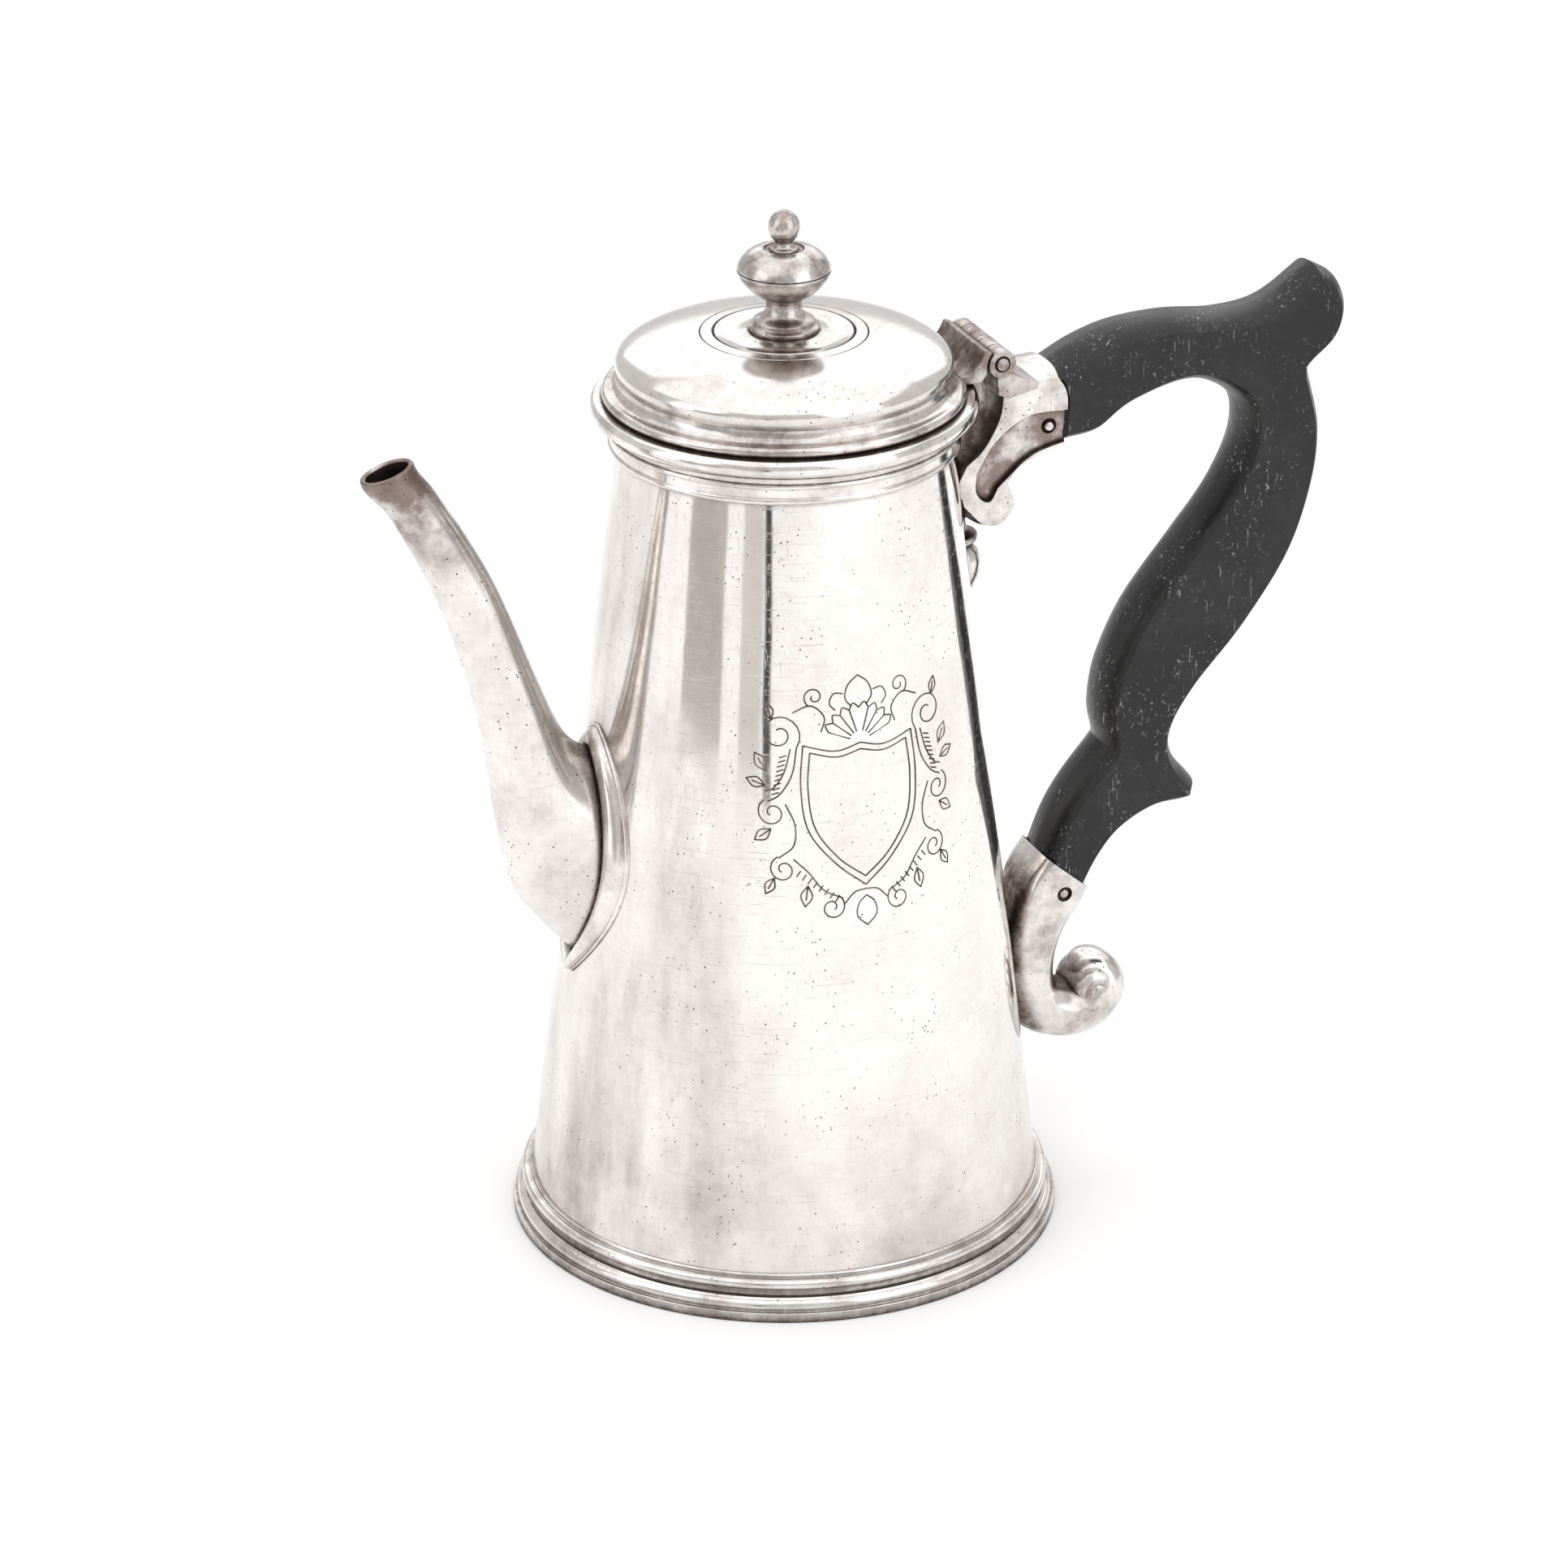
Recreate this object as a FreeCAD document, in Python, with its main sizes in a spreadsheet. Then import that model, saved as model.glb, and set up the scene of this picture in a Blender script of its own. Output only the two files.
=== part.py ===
import math
import os

import FreeCAD
import Part
import Sketcher

from FreeCAD import Placement, Rotation, Vector

# Coffee pot with a tapered body, a hinged domed lid, a curved spout and a wooden scroll handle.
# Origin: centre of the foot's resting plane, on the pot's axis. +Z is up, the handle is on +X
# and the spout on -X. Lengths are millimetres.

DIMENSIONS = [
    ("body_radius", 55.6, "body, outer radius at the top of the foot"),
    ("mouth_radius", 35.8, "body, outer radius at the mouth moulding"),
    ("mouth_height", 178.5, "resting plane to the lower edge of the mouth moulding"),
    ("foot_height", 9.6, "resting plane to the visible lower edge of the body"),
    ("foot_spread", 4.4, "foot, projection of its bottom flange beyond the body"),
    ("rim_height", 10.6, "mouth moulding, height"),
    ("wall", 1.2, "body, sheet thickness"),
    ("disc_height", 4.6, "resting plane to the underside of the base disc"),
    ("disc_sheet", 1.4, "base disc, sheet thickness"),
    ("lid_gap", 0.3, "air between the mouth moulding and the closed lid"),
    ("lid_sheet", 1.0, "lid, sheet thickness"),
    ("dome_rise", 7.3, "lid, rise of the dome above its widest ring"),
    ("bezel_drop", 5.0, "lid, how far its bezel reaches down into the mouth"),
    ("bezel_gap", 0.5, "air between the bezel and the inside of the mouth"),
    ("knop_radius", 9.95, "finial, largest radius of the knop"),
    ("ball_radius", 3.4, "finial, radius of the ball"),
    ("hinge_reach", 9.5, "hinge axis, outwards from the mouth radius"),
    ("hinge_rise", 14.6, "hinge axis, above the lower edge of the mouth moulding"),
    ("barrel_radius", 3.1, "hinge barrel, outer radius"),
    ("barrel_length", 22.4, "hinge barrel, overall length"),
    ("pin_radius", 1.4, "hinge pin, radius"),
    ("running_gap", 0.05, "air between a lid knuckle and the hinge pin"),
    ("knuckle_gap", 0.15, "air between neighbouring knuckles"),
    ("leaf_gap", 0.35, "air between one hinge leaf and the other leaf's knuckles"),
    ("spout_wall", 1.2, "spout, sheet thickness"),
    ("collar_relief", 2.4, "spout collar, height above the body"),
    ("collar_half_width", 17.2, "spout collar, half of its width"),
    ("socket_half_width", 8.0, "handle sockets, half of their width"),
    ("panel_depth", 0.8, "upper handle socket, depth of its side panels"),
    ("handle_half_width", 7.7, "wooden handle, half of its width"),
    ("tenon_half_width", 5.4, "handle tenons, half of their width"),
    ("tenon_gap", 0.15, "air around a tenon in its socket"),
    ("rivet_radius", 1.3, "rivets through the handle sockets"),
    ("strainer_radius", 1.1, "radius of a pierced hole behind the spout"),
]

KNUCKLES = 5
STRAINER_ROWS = 7
STRAINER_PITCH = 4.6
STRAINER_LEVEL = 50.0
STRAINER_REACH = 4.0
DROP_HALF_WIDTH = 3.4
COLLAR_BAND = 4.4
LIP_CLEARANCE = 2.0
SLACK = 30.0

doc = FreeCAD.newDocument("coffee_pot")
sheet = doc.addObject("Spreadsheet::Sheet", "dimensions")
for row, (alias, value, note) in enumerate(DIMENSIONS, start=1):
    sheet.set("A%d" % row, note)
    sheet.set("B%d" % row, str(value))
    sheet.setAlias("B%d" % row, alias)
doc.recompute()


# Reading the sheet

def size(alias):
    """Return one driving dimension as a number."""
    return float(sheet.get(alias))


def amount(terms):
    """Add up terms: an alias, an alias after a minus sign, or a number."""
    total = 0.0
    for term in terms:
        if not isinstance(term, str):
            total += term
        elif term.startswith("-"):
            total -= size(term[1:])
        else:
            total += size(term)
    return total


def formula(terms):
    """Write the same sum as an expression on the sheet."""
    text = "0"
    for term in terms:
        if not isinstance(term, str):
            text += " %+.4f" % term
        elif term.startswith("-"):
            text += " - dimensions." + term[1:]
        else:
            text += " + dimensions." + term
    return text


# Heights that several pieces share, as sums of driving dimensions
FOOT_TOP = ("foot_height",)
DISC_FLOOR = ("disc_height",)
MOUTH = ("mouth_height",)
RIM_TOP = ("mouth_height", "rim_height")
LID_FLOOR = RIM_TOP + ("lid_gap",)
DOME_SEAT = RIM_TOP + (5.0,)
DOME_WIDEST = RIM_TOP + (7.4,)
FINIAL_FLOOR = DOME_WIDEST + ("dome_rise",)
BEZEL_OUTSIDE = ("mouth_radius", "-wall", "-bezel_gap")
BEZEL_INSIDE = BEZEL_OUTSIDE + ("-lid_sheet",)
BODY_INSIDE = ("body_radius", "-wall")
MOUTH_INSIDE = ("mouth_radius", "-wall")
HINGE_X = ("mouth_radius", "hinge_reach")
HINGE_Z = ("mouth_height", "hinge_rise")


def wall_radius(height):
    """Return the outer radius of the tapered body at a height."""
    rise = size("mouth_height") - size("foot_height")
    taper = (size("body_radius") - size("mouth_radius")) / rise
    return size("body_radius") - taper * (height - size("foot_height"))


def near_mouth(reach, rise):
    """Place a point by its reach beyond the mouth radius and its rise above the moulding."""
    return Vector(size("mouth_radius") + reach, 0, size("mouth_height") + rise)


def beside(reach, level):
    """Place a point by its reach from the wall and its level, in percent of the body."""
    height = size("foot_height") + level / 100.0 * (size("mouth_height") - size("foot_height"))
    return Vector(wall_radius(height) + reach, 0, height)


def spout_side(reach, level):
    """Place a point like beside(), on the spout's side of the pot."""
    point = beside(reach, level)
    return Vector(-point.x, 0, point.z)


def near_hinge(reach, rise):
    """Place a point from the hinge axis."""
    return Vector(amount(HINGE_X) + reach, 0, amount(HINGE_Z) + rise)


# Ways of making a piece

def origin_plane(body, role):
    """Return the body's own origin plane of that role."""
    for feature in body.Origin.OriginFeatures:
        if feature.Role == role:
            return feature
    raise ValueError("no plane " + role)


def pin_point(sketch, geometry, position, terms):
    """Hold one sketch point at (radius terms, height terms) from the sheet."""
    for kind, sum_of in zip(("DistanceX", "DistanceY"), terms):
        target = amount(sum_of)
        number = sketch.addConstraint(Sketcher.Constraint(kind, -1, 1, geometry, position, target))
        sketch.setExpression("Constraints[%d]" % number, formula(sum_of))


def draw_profile(sketch, corners):
    """Draw a closed profile whose corners are (radius terms, height terms).

    A third entry on a corner is a point that the arc to the next corner passes through.
    """
    places = [Vector(amount(corner[0]), amount(corner[1]), 0) for corner in corners]
    heads = []
    tails = []
    for index, corner in enumerate(corners):
        start = places[index]
        end = places[(index + 1) % len(places)]
        clockwise = False
        if len(corner) == 3:
            through = Vector(amount(corner[2][0]), amount(corner[2][1]), 0)
            clockwise = (through - start).cross(end - through).z < 0
            geometry = sketch.addGeometry(Part.Arc(start, through, end), False)
            waypoint = sketch.addGeometry(Part.Point(through), True)
            sketch.addConstraint(Sketcher.Constraint("PointOnObject", waypoint, 1, geometry))
            pin_point(sketch, waypoint, 1, corner[2])
        else:
            geometry = sketch.addGeometry(Part.LineSegment(start, end), False)
        heads.append((geometry, 2 if clockwise else 1))
        tails.append((geometry, 1 if clockwise else 2))
    for index, corner in enumerate(corners):
        before = tails[index - 1]
        after = heads[index]
        sketch.addConstraint(Sketcher.Constraint("Coincident", *before, *after))
        pin_point(sketch, after[0], after[1], corner[:2])


def turned(name, corners):
    """Make a body turned about the pot's axis."""
    body = doc.addObject("PartDesign::Body", name)
    body.Label = name
    sketch = body.newObject("Sketcher::SketchObject", name + "_profile")
    sketch.AttachmentSupport = [(origin_plane(body, "XZ_Plane"), "")]
    sketch.MapMode = "FlatFace"
    draw_profile(sketch, corners)
    revolution = body.newObject("PartDesign::Revolution", name + "_turned")
    revolution.Profile = sketch
    revolution.ReferenceAxis = (sketch, ["V_Axis"])
    revolution.Angle = 360.0
    return body


def cylinder(name, radius, height, centre):
    """Make an upright Part cylinder from terms; centre holds the terms of its base coordinates."""
    made = doc.addObject("Part::Cylinder", name)
    made.Label = name
    made.setExpression("Radius", formula(radius))
    made.setExpression("Height", formula(height))
    for letter, terms in zip("xyz", centre):
        made.setExpression("Placement.Base." + letter, formula(terms))
    return made


def cut(name, base, tool):
    """Take one object out of another."""
    made = doc.addObject("Part::Cut", name)
    made.Label = name
    made.Base = base
    made.Tool = tool
    return made


def piece(name, shape):
    """Keep a shape as a piece of its own."""
    made = doc.addObject("Part::Feature", name)
    made.Label = name
    made.Shape = shape
    return made


def smooth(points):
    """Return a smooth edge through points, or a straight one between two."""
    if len(points) == 2:
        return Part.makeLine(points[0], points[1])
    curve = Part.BSplineCurve()
    curve.interpolate(points)
    return curve.toShape()


def slab(stretches, half_width):
    """Return a solid of an outline in the XZ plane, thickened both ways along Y."""
    face = Part.Face(Part.Wire([smooth(points) for points in stretches]))
    face.translate(Vector(0, -half_width, 0))
    return face.extrude(Vector(0, 2 * half_width, 0))


def corners_of(points):
    """Return straight stretches that join points into a closed outline."""
    return [[start, end] for start, end in zip(points, points[1:] + points[:1])]


def rod(radius, middle, half_length):
    """Return a cylinder along Y, about a middle point."""
    start = middle - Vector(0, half_length, 0)
    return Part.makeCylinder(radius, 2 * half_length, start, Vector(0, 1, 0))


def wall_cone(growth):
    """Return a solid cone that follows the outside of the body, grown by some thickness."""
    bottom = size("foot_height") - size("disc_height")
    top = size("mouth_height") + size("rim_height")
    lower = wall_radius(bottom) + growth
    upper = wall_radius(top) + growth
    return Part.makeCone(lower, upper, top - bottom, Vector(0, 0, bottom))


# Body and foot

def make_body_wall():
    """Tapered wall with a straight neck at the mouth and a pierced strainer for the spout."""
    shell = turned("body_shell", [
        (BODY_INSIDE, DISC_FLOOR),
        (("body_radius",), DISC_FLOOR),
        (("body_radius",), FOOT_TOP),
        (("mouth_radius",), MOUTH),
        (("mouth_radius",), RIM_TOP),
        (MOUTH_INSIDE, RIM_TOP),
        (MOUTH_INSIDE, MOUTH),
        (BODY_INSIDE, FOOT_TOP),
    ])
    holes = []
    middle = (STRAINER_ROWS - 1) // 2
    centre = spout_side(0, STRAINER_LEVEL)
    for row in range(STRAINER_ROWS):
        count = 1 + min(row, STRAINER_ROWS - 1 - row)
        for column in range(count):
            hole = doc.addObject("Part::Cylinder", "strainer_hole_%d_%d" % (row + 1, column + 1))
            hole.setExpression("Radius", formula(("strainer_radius",)))
            hole.setExpression("Height", formula(("wall", 2 * STRAINER_REACH)))
            side = (column - (count - 1) / 2.0) * STRAINER_PITCH
            height = centre.z + (row - middle) * STRAINER_PITCH
            start = Vector(centre.x - STRAINER_REACH, side, height)
            hole.Placement = Placement(start, Rotation(Vector(0, 1, 0), 90))
            holes.append(hole)
    group = doc.addObject("Part::MultiFuse", "strainer_holes")
    group.Shapes = holes
    return cut("body_wall", shell, group)


def make_base_disc():
    """Flat disc that closes the bottom of the body."""
    return cylinder("base_disc", BODY_INSIDE, ("disc_sheet",), ((0,), (0,), DISC_FLOOR))


def make_foot_ring():
    """Stepped foot: flange, ovolo, cavetto, half round and a fine bead under the body."""
    edge = ("body_radius", "foot_spread")
    inside = BODY_INSIDE + (-1.6,)
    return turned("foot_ring", [
        (inside, (0,)),
        (edge, (0,)),
        (edge, (2.2,)),
        (edge + (-0.9,), (2.2,)),
        (edge + (-0.9,), (2.7,), (edge + (-1.1,), (3.8,))),
        (edge + (-2.0,), (4.5,)),
        (edge + (-2.3,), (4.9,), (edge + (-3.3,), (5.5,))),
        (edge + (-3.4,), (6.5,), (edge + (-2.0,), (7.5,))),
        (edge + (-3.4,), FOOT_TOP + (-0.9,)),
        (("body_radius", 0.5), FOOT_TOP + (-0.8,), (("body_radius", 0.5), FOOT_TOP + (-0.3,))),
        (("body_radius",), FOOT_TOP),
        (("body_radius",), DISC_FLOOR),
        (inside, DISC_FLOOR),
    ])


def make_mouth_moulding():
    """Applied moulding around the mouth, ending in a bold roll."""
    edge = ("mouth_radius",)
    return turned("mouth_moulding", [
        (edge, MOUTH),
        (edge + (0.8,), MOUTH, (edge + (1.5,), MOUTH + (0.8,))),
        (edge + (1.1,), MOUTH + (1.5,)),
        (edge + (1.1,), MOUTH + (3.5,), (edge + (1.8,), MOUTH + (4.1,))),
        (edge + (1.3,), MOUTH + (4.7,), (edge + (1.9,), MOUTH + (6.1,))),
        (edge + (3.2,), MOUTH + (6.9,), (edge + (5.2,), MOUTH + (8.6,))),
        (edge + (4.2,), RIM_TOP),
        (edge, RIM_TOP),
    ])


# Lid and finial

def make_lid():
    """Bezel with its flange, and the domed cover that sits on it."""
    flange = ("mouth_radius",)
    bezel = turned("lid_bezel", [
        (BEZEL_INSIDE, RIM_TOP + ("-bezel_drop",)),
        (BEZEL_OUTSIDE, RIM_TOP + ("-bezel_drop",)),
        (BEZEL_OUTSIDE, LID_FLOOR),
        (flange + (2.2,), LID_FLOOR, (flange + (2.6,), LID_FLOOR + (0.8,))),
        (flange + (1.3,), LID_FLOOR + (2.1,), (flange + (-0.4,), LID_FLOOR + (2.9,))),
        (flange + (-0.9,), DOME_SEAT),
        (BEZEL_INSIDE, DOME_SEAT),
    ])
    skin = ("-lid_sheet",)
    inner = ("mouth_radius",) + skin
    cover = turned("lid_dome", [
        (inner + (-0.9,), DOME_SEAT),
        (flange + (-0.9,), DOME_SEAT, (flange + (-0.4,), DOME_WIDEST + (-1.2,))),
        (flange + (-0.2,), DOME_WIDEST, (flange + (-1.3,), DOME_WIDEST + (1.9,))),
        (flange + (-3.8,), DOME_WIDEST + (3.5,), (flange + (-10.8,), DOME_WIDEST + (5.5,))),
        ((18.0,), FINIAL_FLOOR + (-0.6,)),
        ((7.6,), FINIAL_FLOOR),
        ((0,), FINIAL_FLOOR),
        ((0,), FINIAL_FLOOR + skin),
        ((18.0,), FINIAL_FLOOR + skin + (-0.6,),
         (flange + (-10.8,), DOME_WIDEST + skin + (5.4,))),
        (inner + (-3.8,), DOME_WIDEST + (2.8,), (inner + (-1.3,), DOME_WIDEST + (1.5,))),
        (inner + (-0.3,), DOME_WIDEST + (-0.4,)),
    ])
    return [bezel, cover]


def make_finial():
    """Stepped pedestal, knop in two halves with a seam at its widest, and the ball on top."""
    floor = FINIAL_FLOOR
    knop = ("knop_radius",)
    turned("finial_pedestal", [
        ((0,), floor),
        ((7.6,), floor),
        ((7.6,), floor + (0.8,)),
        ((6.5,), floor + (1.3,)),
        ((6.5,), floor + (2.1,)),
        ((5.5,), floor + (2.7,), ((3.8,), floor + (5.0,))),
        ((4.3,), floor + (7.0,)),
        ((0,), floor + (7.0,)),
    ])
    turned("finial_knop_lower", [
        ((0,), floor + (7.0,)),
        ((4.3,), floor + (7.0,), (knop + (-2.2,), floor + (9.4,))),
        (knop, floor + (13.1,)),
        ((0,), floor + (13.1,)),
    ])
    turned("finial_knop_upper", [
        ((0,), floor + (13.1,)),
        (knop, floor + (13.1,), (knop + (-1.2,), floor + (15.6,))),
        ((4.9,), floor + (17.7,)),
        ((4.0,), floor + (17.5,)),
        ((0,), floor + (17.5,)),
    ])
    neck = turned("finial_neck", [
        ((0,), floor + (17.5,)),
        ((2.9,), floor + (17.5,), ((2.0,), floor + (18.6,))),
        ((2.1,), floor + (20.6,)),
        ((0,), floor + (20.6,)),
    ])
    sphere = doc.addObject("Part::Sphere", "finial_sphere")
    sphere.setExpression("Radius", formula(("ball_radius",)))
    sphere.setExpression("Placement.Base.z", formula(floor + (19.3, "ball_radius")))
    ball = doc.addObject("Part::Fuse", "finial_ball")
    ball.Label = "finial_ball"
    ball.Base = neck
    ball.Tool = sphere


# Hinge

def knuckle_span():
    """Return the pitch of the knuckles along the hinge axis."""
    return size("barrel_length") / KNUCKLES


def on_lid(number):
    """The second and fourth knuckles belong to the lid."""
    return number % 2 == 1


def make_knuckles():
    """Five knuckles in a row; the lid's ones run on the pin, the body's ones grip it."""
    turn = Rotation(Vector(1, 0, 0), -90)
    for number in range(KNUCKLES):
        owner = "lid" if on_lid(number) else "body"
        name = "%s_knuckle_%d" % (owner, number // 2 + 1)
        share = number / float(KNUCKLES) - 0.5
        barrel = doc.addObject("Part::Cylinder", name + "_barrel")
        bore = doc.addObject("Part::Cylinder", name + "_bore")
        barrel.setExpression("Radius", formula(("barrel_radius",)))
        clearance = ("pin_radius", "running_gap") if on_lid(number) else ("pin_radius",)
        bore.setExpression("Radius", formula(clearance))
        for made in (barrel, bore):
            made.Placement = Placement(Vector(), turn)
            made.setExpression(
                "Height", "dimensions.barrel_length / %d - dimensions.knuckle_gap" % KNUCKLES)
            made.setExpression("Placement.Base.x", formula(HINGE_X))
            made.setExpression(
                "Placement.Base.y",
                "%.4f * dimensions.barrel_length + dimensions.knuckle_gap / 2" % share)
            made.setExpression("Placement.Base.z", formula(HINGE_Z))
        cut(name, barrel, bore)


def make_hinge_pin():
    """Pin through all the knuckles, a little longer than the barrel."""
    pin = doc.addObject("Part::Cylinder", "hinge_pin")
    pin.Placement = Placement(Vector(), Rotation(Vector(1, 0, 0), -90))
    pin.setExpression("Radius", formula(("pin_radius",)))
    pin.setExpression("Height", "dimensions.barrel_length + 0.6")
    pin.setExpression("Placement.Base.x", formula(HINGE_X))
    pin.setExpression("Placement.Base.y", "-dimensions.barrel_length / 2 - 0.3")
    pin.setExpression("Placement.Base.z", formula(HINGE_Z))


def clear_of_knuckles(shape, leaf_on_lid):
    """Cut a hinge leaf to touch its own knuckles and to stay clear of the others."""
    span = knuckle_span()
    for number in range(KNUCKLES):
        own = on_lid(number) == leaf_on_lid
        radius = size("barrel_radius") + (0 if own else size("leaf_gap"))
        half = span / 2 if own else span / 2 + size("leaf_gap") / 2
        middle = near_hinge(0, 0) + Vector(0, (number - (KNUCKLES - 1) / 2.0) * span, 0)
        if number in (0, KNUCKLES - 1) and not own:
            half += size("leaf_gap")
        shape = shape.cut(rod(radius, middle, half))
    return shape


def make_hinge_leaves(lid_pieces, socket):
    """Curved leaf that rises from the lid's flange, and the bracket on the upper socket."""
    half = size("barrel_length") / 2
    front = [near_hinge(-4.0, 3.5), near_hinge(-5.4, 0.9), near_hinge(-7.4, -1.0), near_hinge(-9.8, -1.7)]
    leaf = slab([
        front,
        [near_hinge(-9.8, -1.7), near_hinge(-9.8, -3.5)],
        [near_hinge(-9.8, -3.5), near_hinge(-4.8, -3.5)],
        [near_hinge(-4.8, -3.5), near_hinge(-3.5, -1.4)],
        [near_hinge(-3.5, -1.4), near_hinge(-1.4, -1.0)],
        [near_hinge(-1.4, -1.0), near_hinge(-1.4, 2.9)],
        [near_hinge(-1.4, 2.9), near_hinge(-4.0, 3.5)],
    ], half)
    leaf = clear_of_knuckles(leaf, True)
    for made in lid_pieces:
        leaf = leaf.cut(made.Shape)
    piece("lid_hinge_leaf", main_solid(leaf))

    bracket = slab(corners_of([
        near_hinge(-1.2, -1.6),
        near_hinge(2.9, -1.0),
        near_hinge(4.4, -3.6),
        near_hinge(8.4, -4.9),
        near_hinge(8.4, -6.6),
        near_hinge(1.6, -8.0),
        near_hinge(-0.8, -7.0),
    ]), half - size("knuckle_gap") / 2)
    bracket = clear_of_knuckles(bracket, False)
    bracket = bracket.cut(socket.Shape)
    piece("body_hinge_leaf", main_solid(bracket))


def main_solid(shape):
    """Return the largest solid of a cut shape."""
    return max(shape.Solids, key=lambda solid: solid.Volume)


# Spout

SPOUT_STATIONS = [
    # (reach, level) of the outer edge and of the inner edge, half width, roundness
    ((58.6, 102.3), (46.2, 104.8), 4.8, 2.0),
    ((57.2, 101.0), (46.6, 103.2), 4.4, 2.0),
    ((50.0, 96.2), (41.4, 99.2), 4.6, 2.0),
    ((38.0, 83.9), (27.8, 88.0), 5.6, 2.0),
    ((27.6, 68.7), (15.4, 73.6), 7.2, 1.9),
    ((21.4, 55.0), (8.6, 66.2), 9.0, 1.7),
    ((15.0, 44.4), (3.6, 63.4), 10.2, 1.4),
    ((-2.5, 33.2), (-3.0, 62.4), 10.6, 1.2),
]


def spout_section(station, thinner):
    """Return the closed outline of one station, smaller by a thickness all round."""
    outer_place, inner_place, half_width, roundness = station
    outer = spout_side(*outer_place)
    inner = spout_side(*inner_place)
    centre = (outer + inner) / 2
    across = (outer - inner) / 2
    half_depth = across.Length - thinner
    across.normalize()
    steps = 10
    halves = []
    for side in (1, -1):
        points = []
        for step in range(steps + 1):
            angle = math.pi * step / steps
            depth = half_depth * math.cos(angle) * side
            bulge = abs(math.sin(angle)) ** (2.0 / roundness)
            breadth = (half_width - thinner) * bulge * side
            points.append(centre + across * depth + Vector(0, breadth, 0))
        halves.append(smooth(points))
    return Part.Wire(halves)


def spout_loft(thinner):
    """Return the solid inside the spout's stations."""
    sections = [spout_section(station, thinner) for station in SPOUT_STATIONS]
    return Part.makeLoft(sections, True, False)


def make_spout():
    """Curved spout that is open at both ends, and the lens-shaped collar at its root."""
    outside = spout_loft(0.0)
    bore = spout_loft(size("spout_wall"))
    lip_outer = spout_side(*SPOUT_STATIONS[0][0])
    lip_inner = spout_side(*SPOUT_STATIONS[0][1])
    outward = (lip_outer - lip_inner).cross(Vector(0, 1, 0)).normalize()
    if outward.z < 0:
        outward = outward * -1
    mouth = Part.Face(spout_section(SPOUT_STATIONS[0], size("spout_wall")))
    body = wall_cone(0.0)
    shell = outside.cut(bore).cut(mouth.extrude(outward * LIP_CLEARANCE)).cut(body)
    piece("spout", main_solid(shell))

    relief = size("collar_relief")
    half = size("collar_half_width")
    steps = [(1.0, half, relief * 0.55), (0.0, half - COLLAR_BAND, relief)]
    collar = None
    for drop, half_width, height in steps:
        bottom = spout_side(0, 33.2 - drop).z
        crown = spout_side(0, 64.5 + drop).z
        middle = (bottom + crown) / 2
        left = smooth([Vector(0, 0, bottom), Vector(0, half_width, middle), Vector(0, 0, crown)])
        right = smooth([Vector(0, 0, crown), Vector(0, -half_width, middle), Vector(0, 0, bottom)])
        prism = Part.Face(Part.Wire([left, right])).extrude(Vector(-2 * size("body_radius"), 0, 0))
        step = prism.common(wall_cone(height))
        collar = step if collar is None else collar.fuse(step)
    collar = collar.cut(body).cut(outside)
    piece("spout_collar", main_solid(collar))


# Handle and its sockets

def upper_joint():
    """Return the smooth line where the wooden handle meets the upper socket, top to bottom."""
    return [near_mouth(24.4, 10.1), near_mouth(27.3, 4.0), near_mouth(26.6, -7.6)]


def lower_joint():
    """Return the line where the wooden handle meets the lower socket, inside to outside."""
    return [beside(11.4, 38.3), beside(20.9, 33.0)]


def tenon(joint, depth, margin, growth):
    """Return a block that reaches from a joint line into its socket."""
    top = joint[0]
    bottom = joint[-1]
    along = (bottom - top).normalize()
    inwards = along.cross(Vector(0, 1, 0)).normalize()
    if inwards.x > 0:
        inwards = inwards * -1
    first = top + along * (margin - growth)
    last = bottom - along * (margin - growth)
    root = inwards * -4.0
    tip = inwards * (depth + growth)
    outline = corners_of([first + root, last + root, last + tip, first + tip])
    return slab(outline, size("tenon_half_width") + growth)


def upper_tenon(growth):
    """Return the tenon in the upper socket, grown by a gap."""
    return tenon(upper_joint(), 9.0, 2.9, growth)


def lower_tenon(growth):
    """Return the tenon in the lower socket, grown by a gap."""
    return tenon(lower_joint(), 10.0, 2.4, growth)


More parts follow.
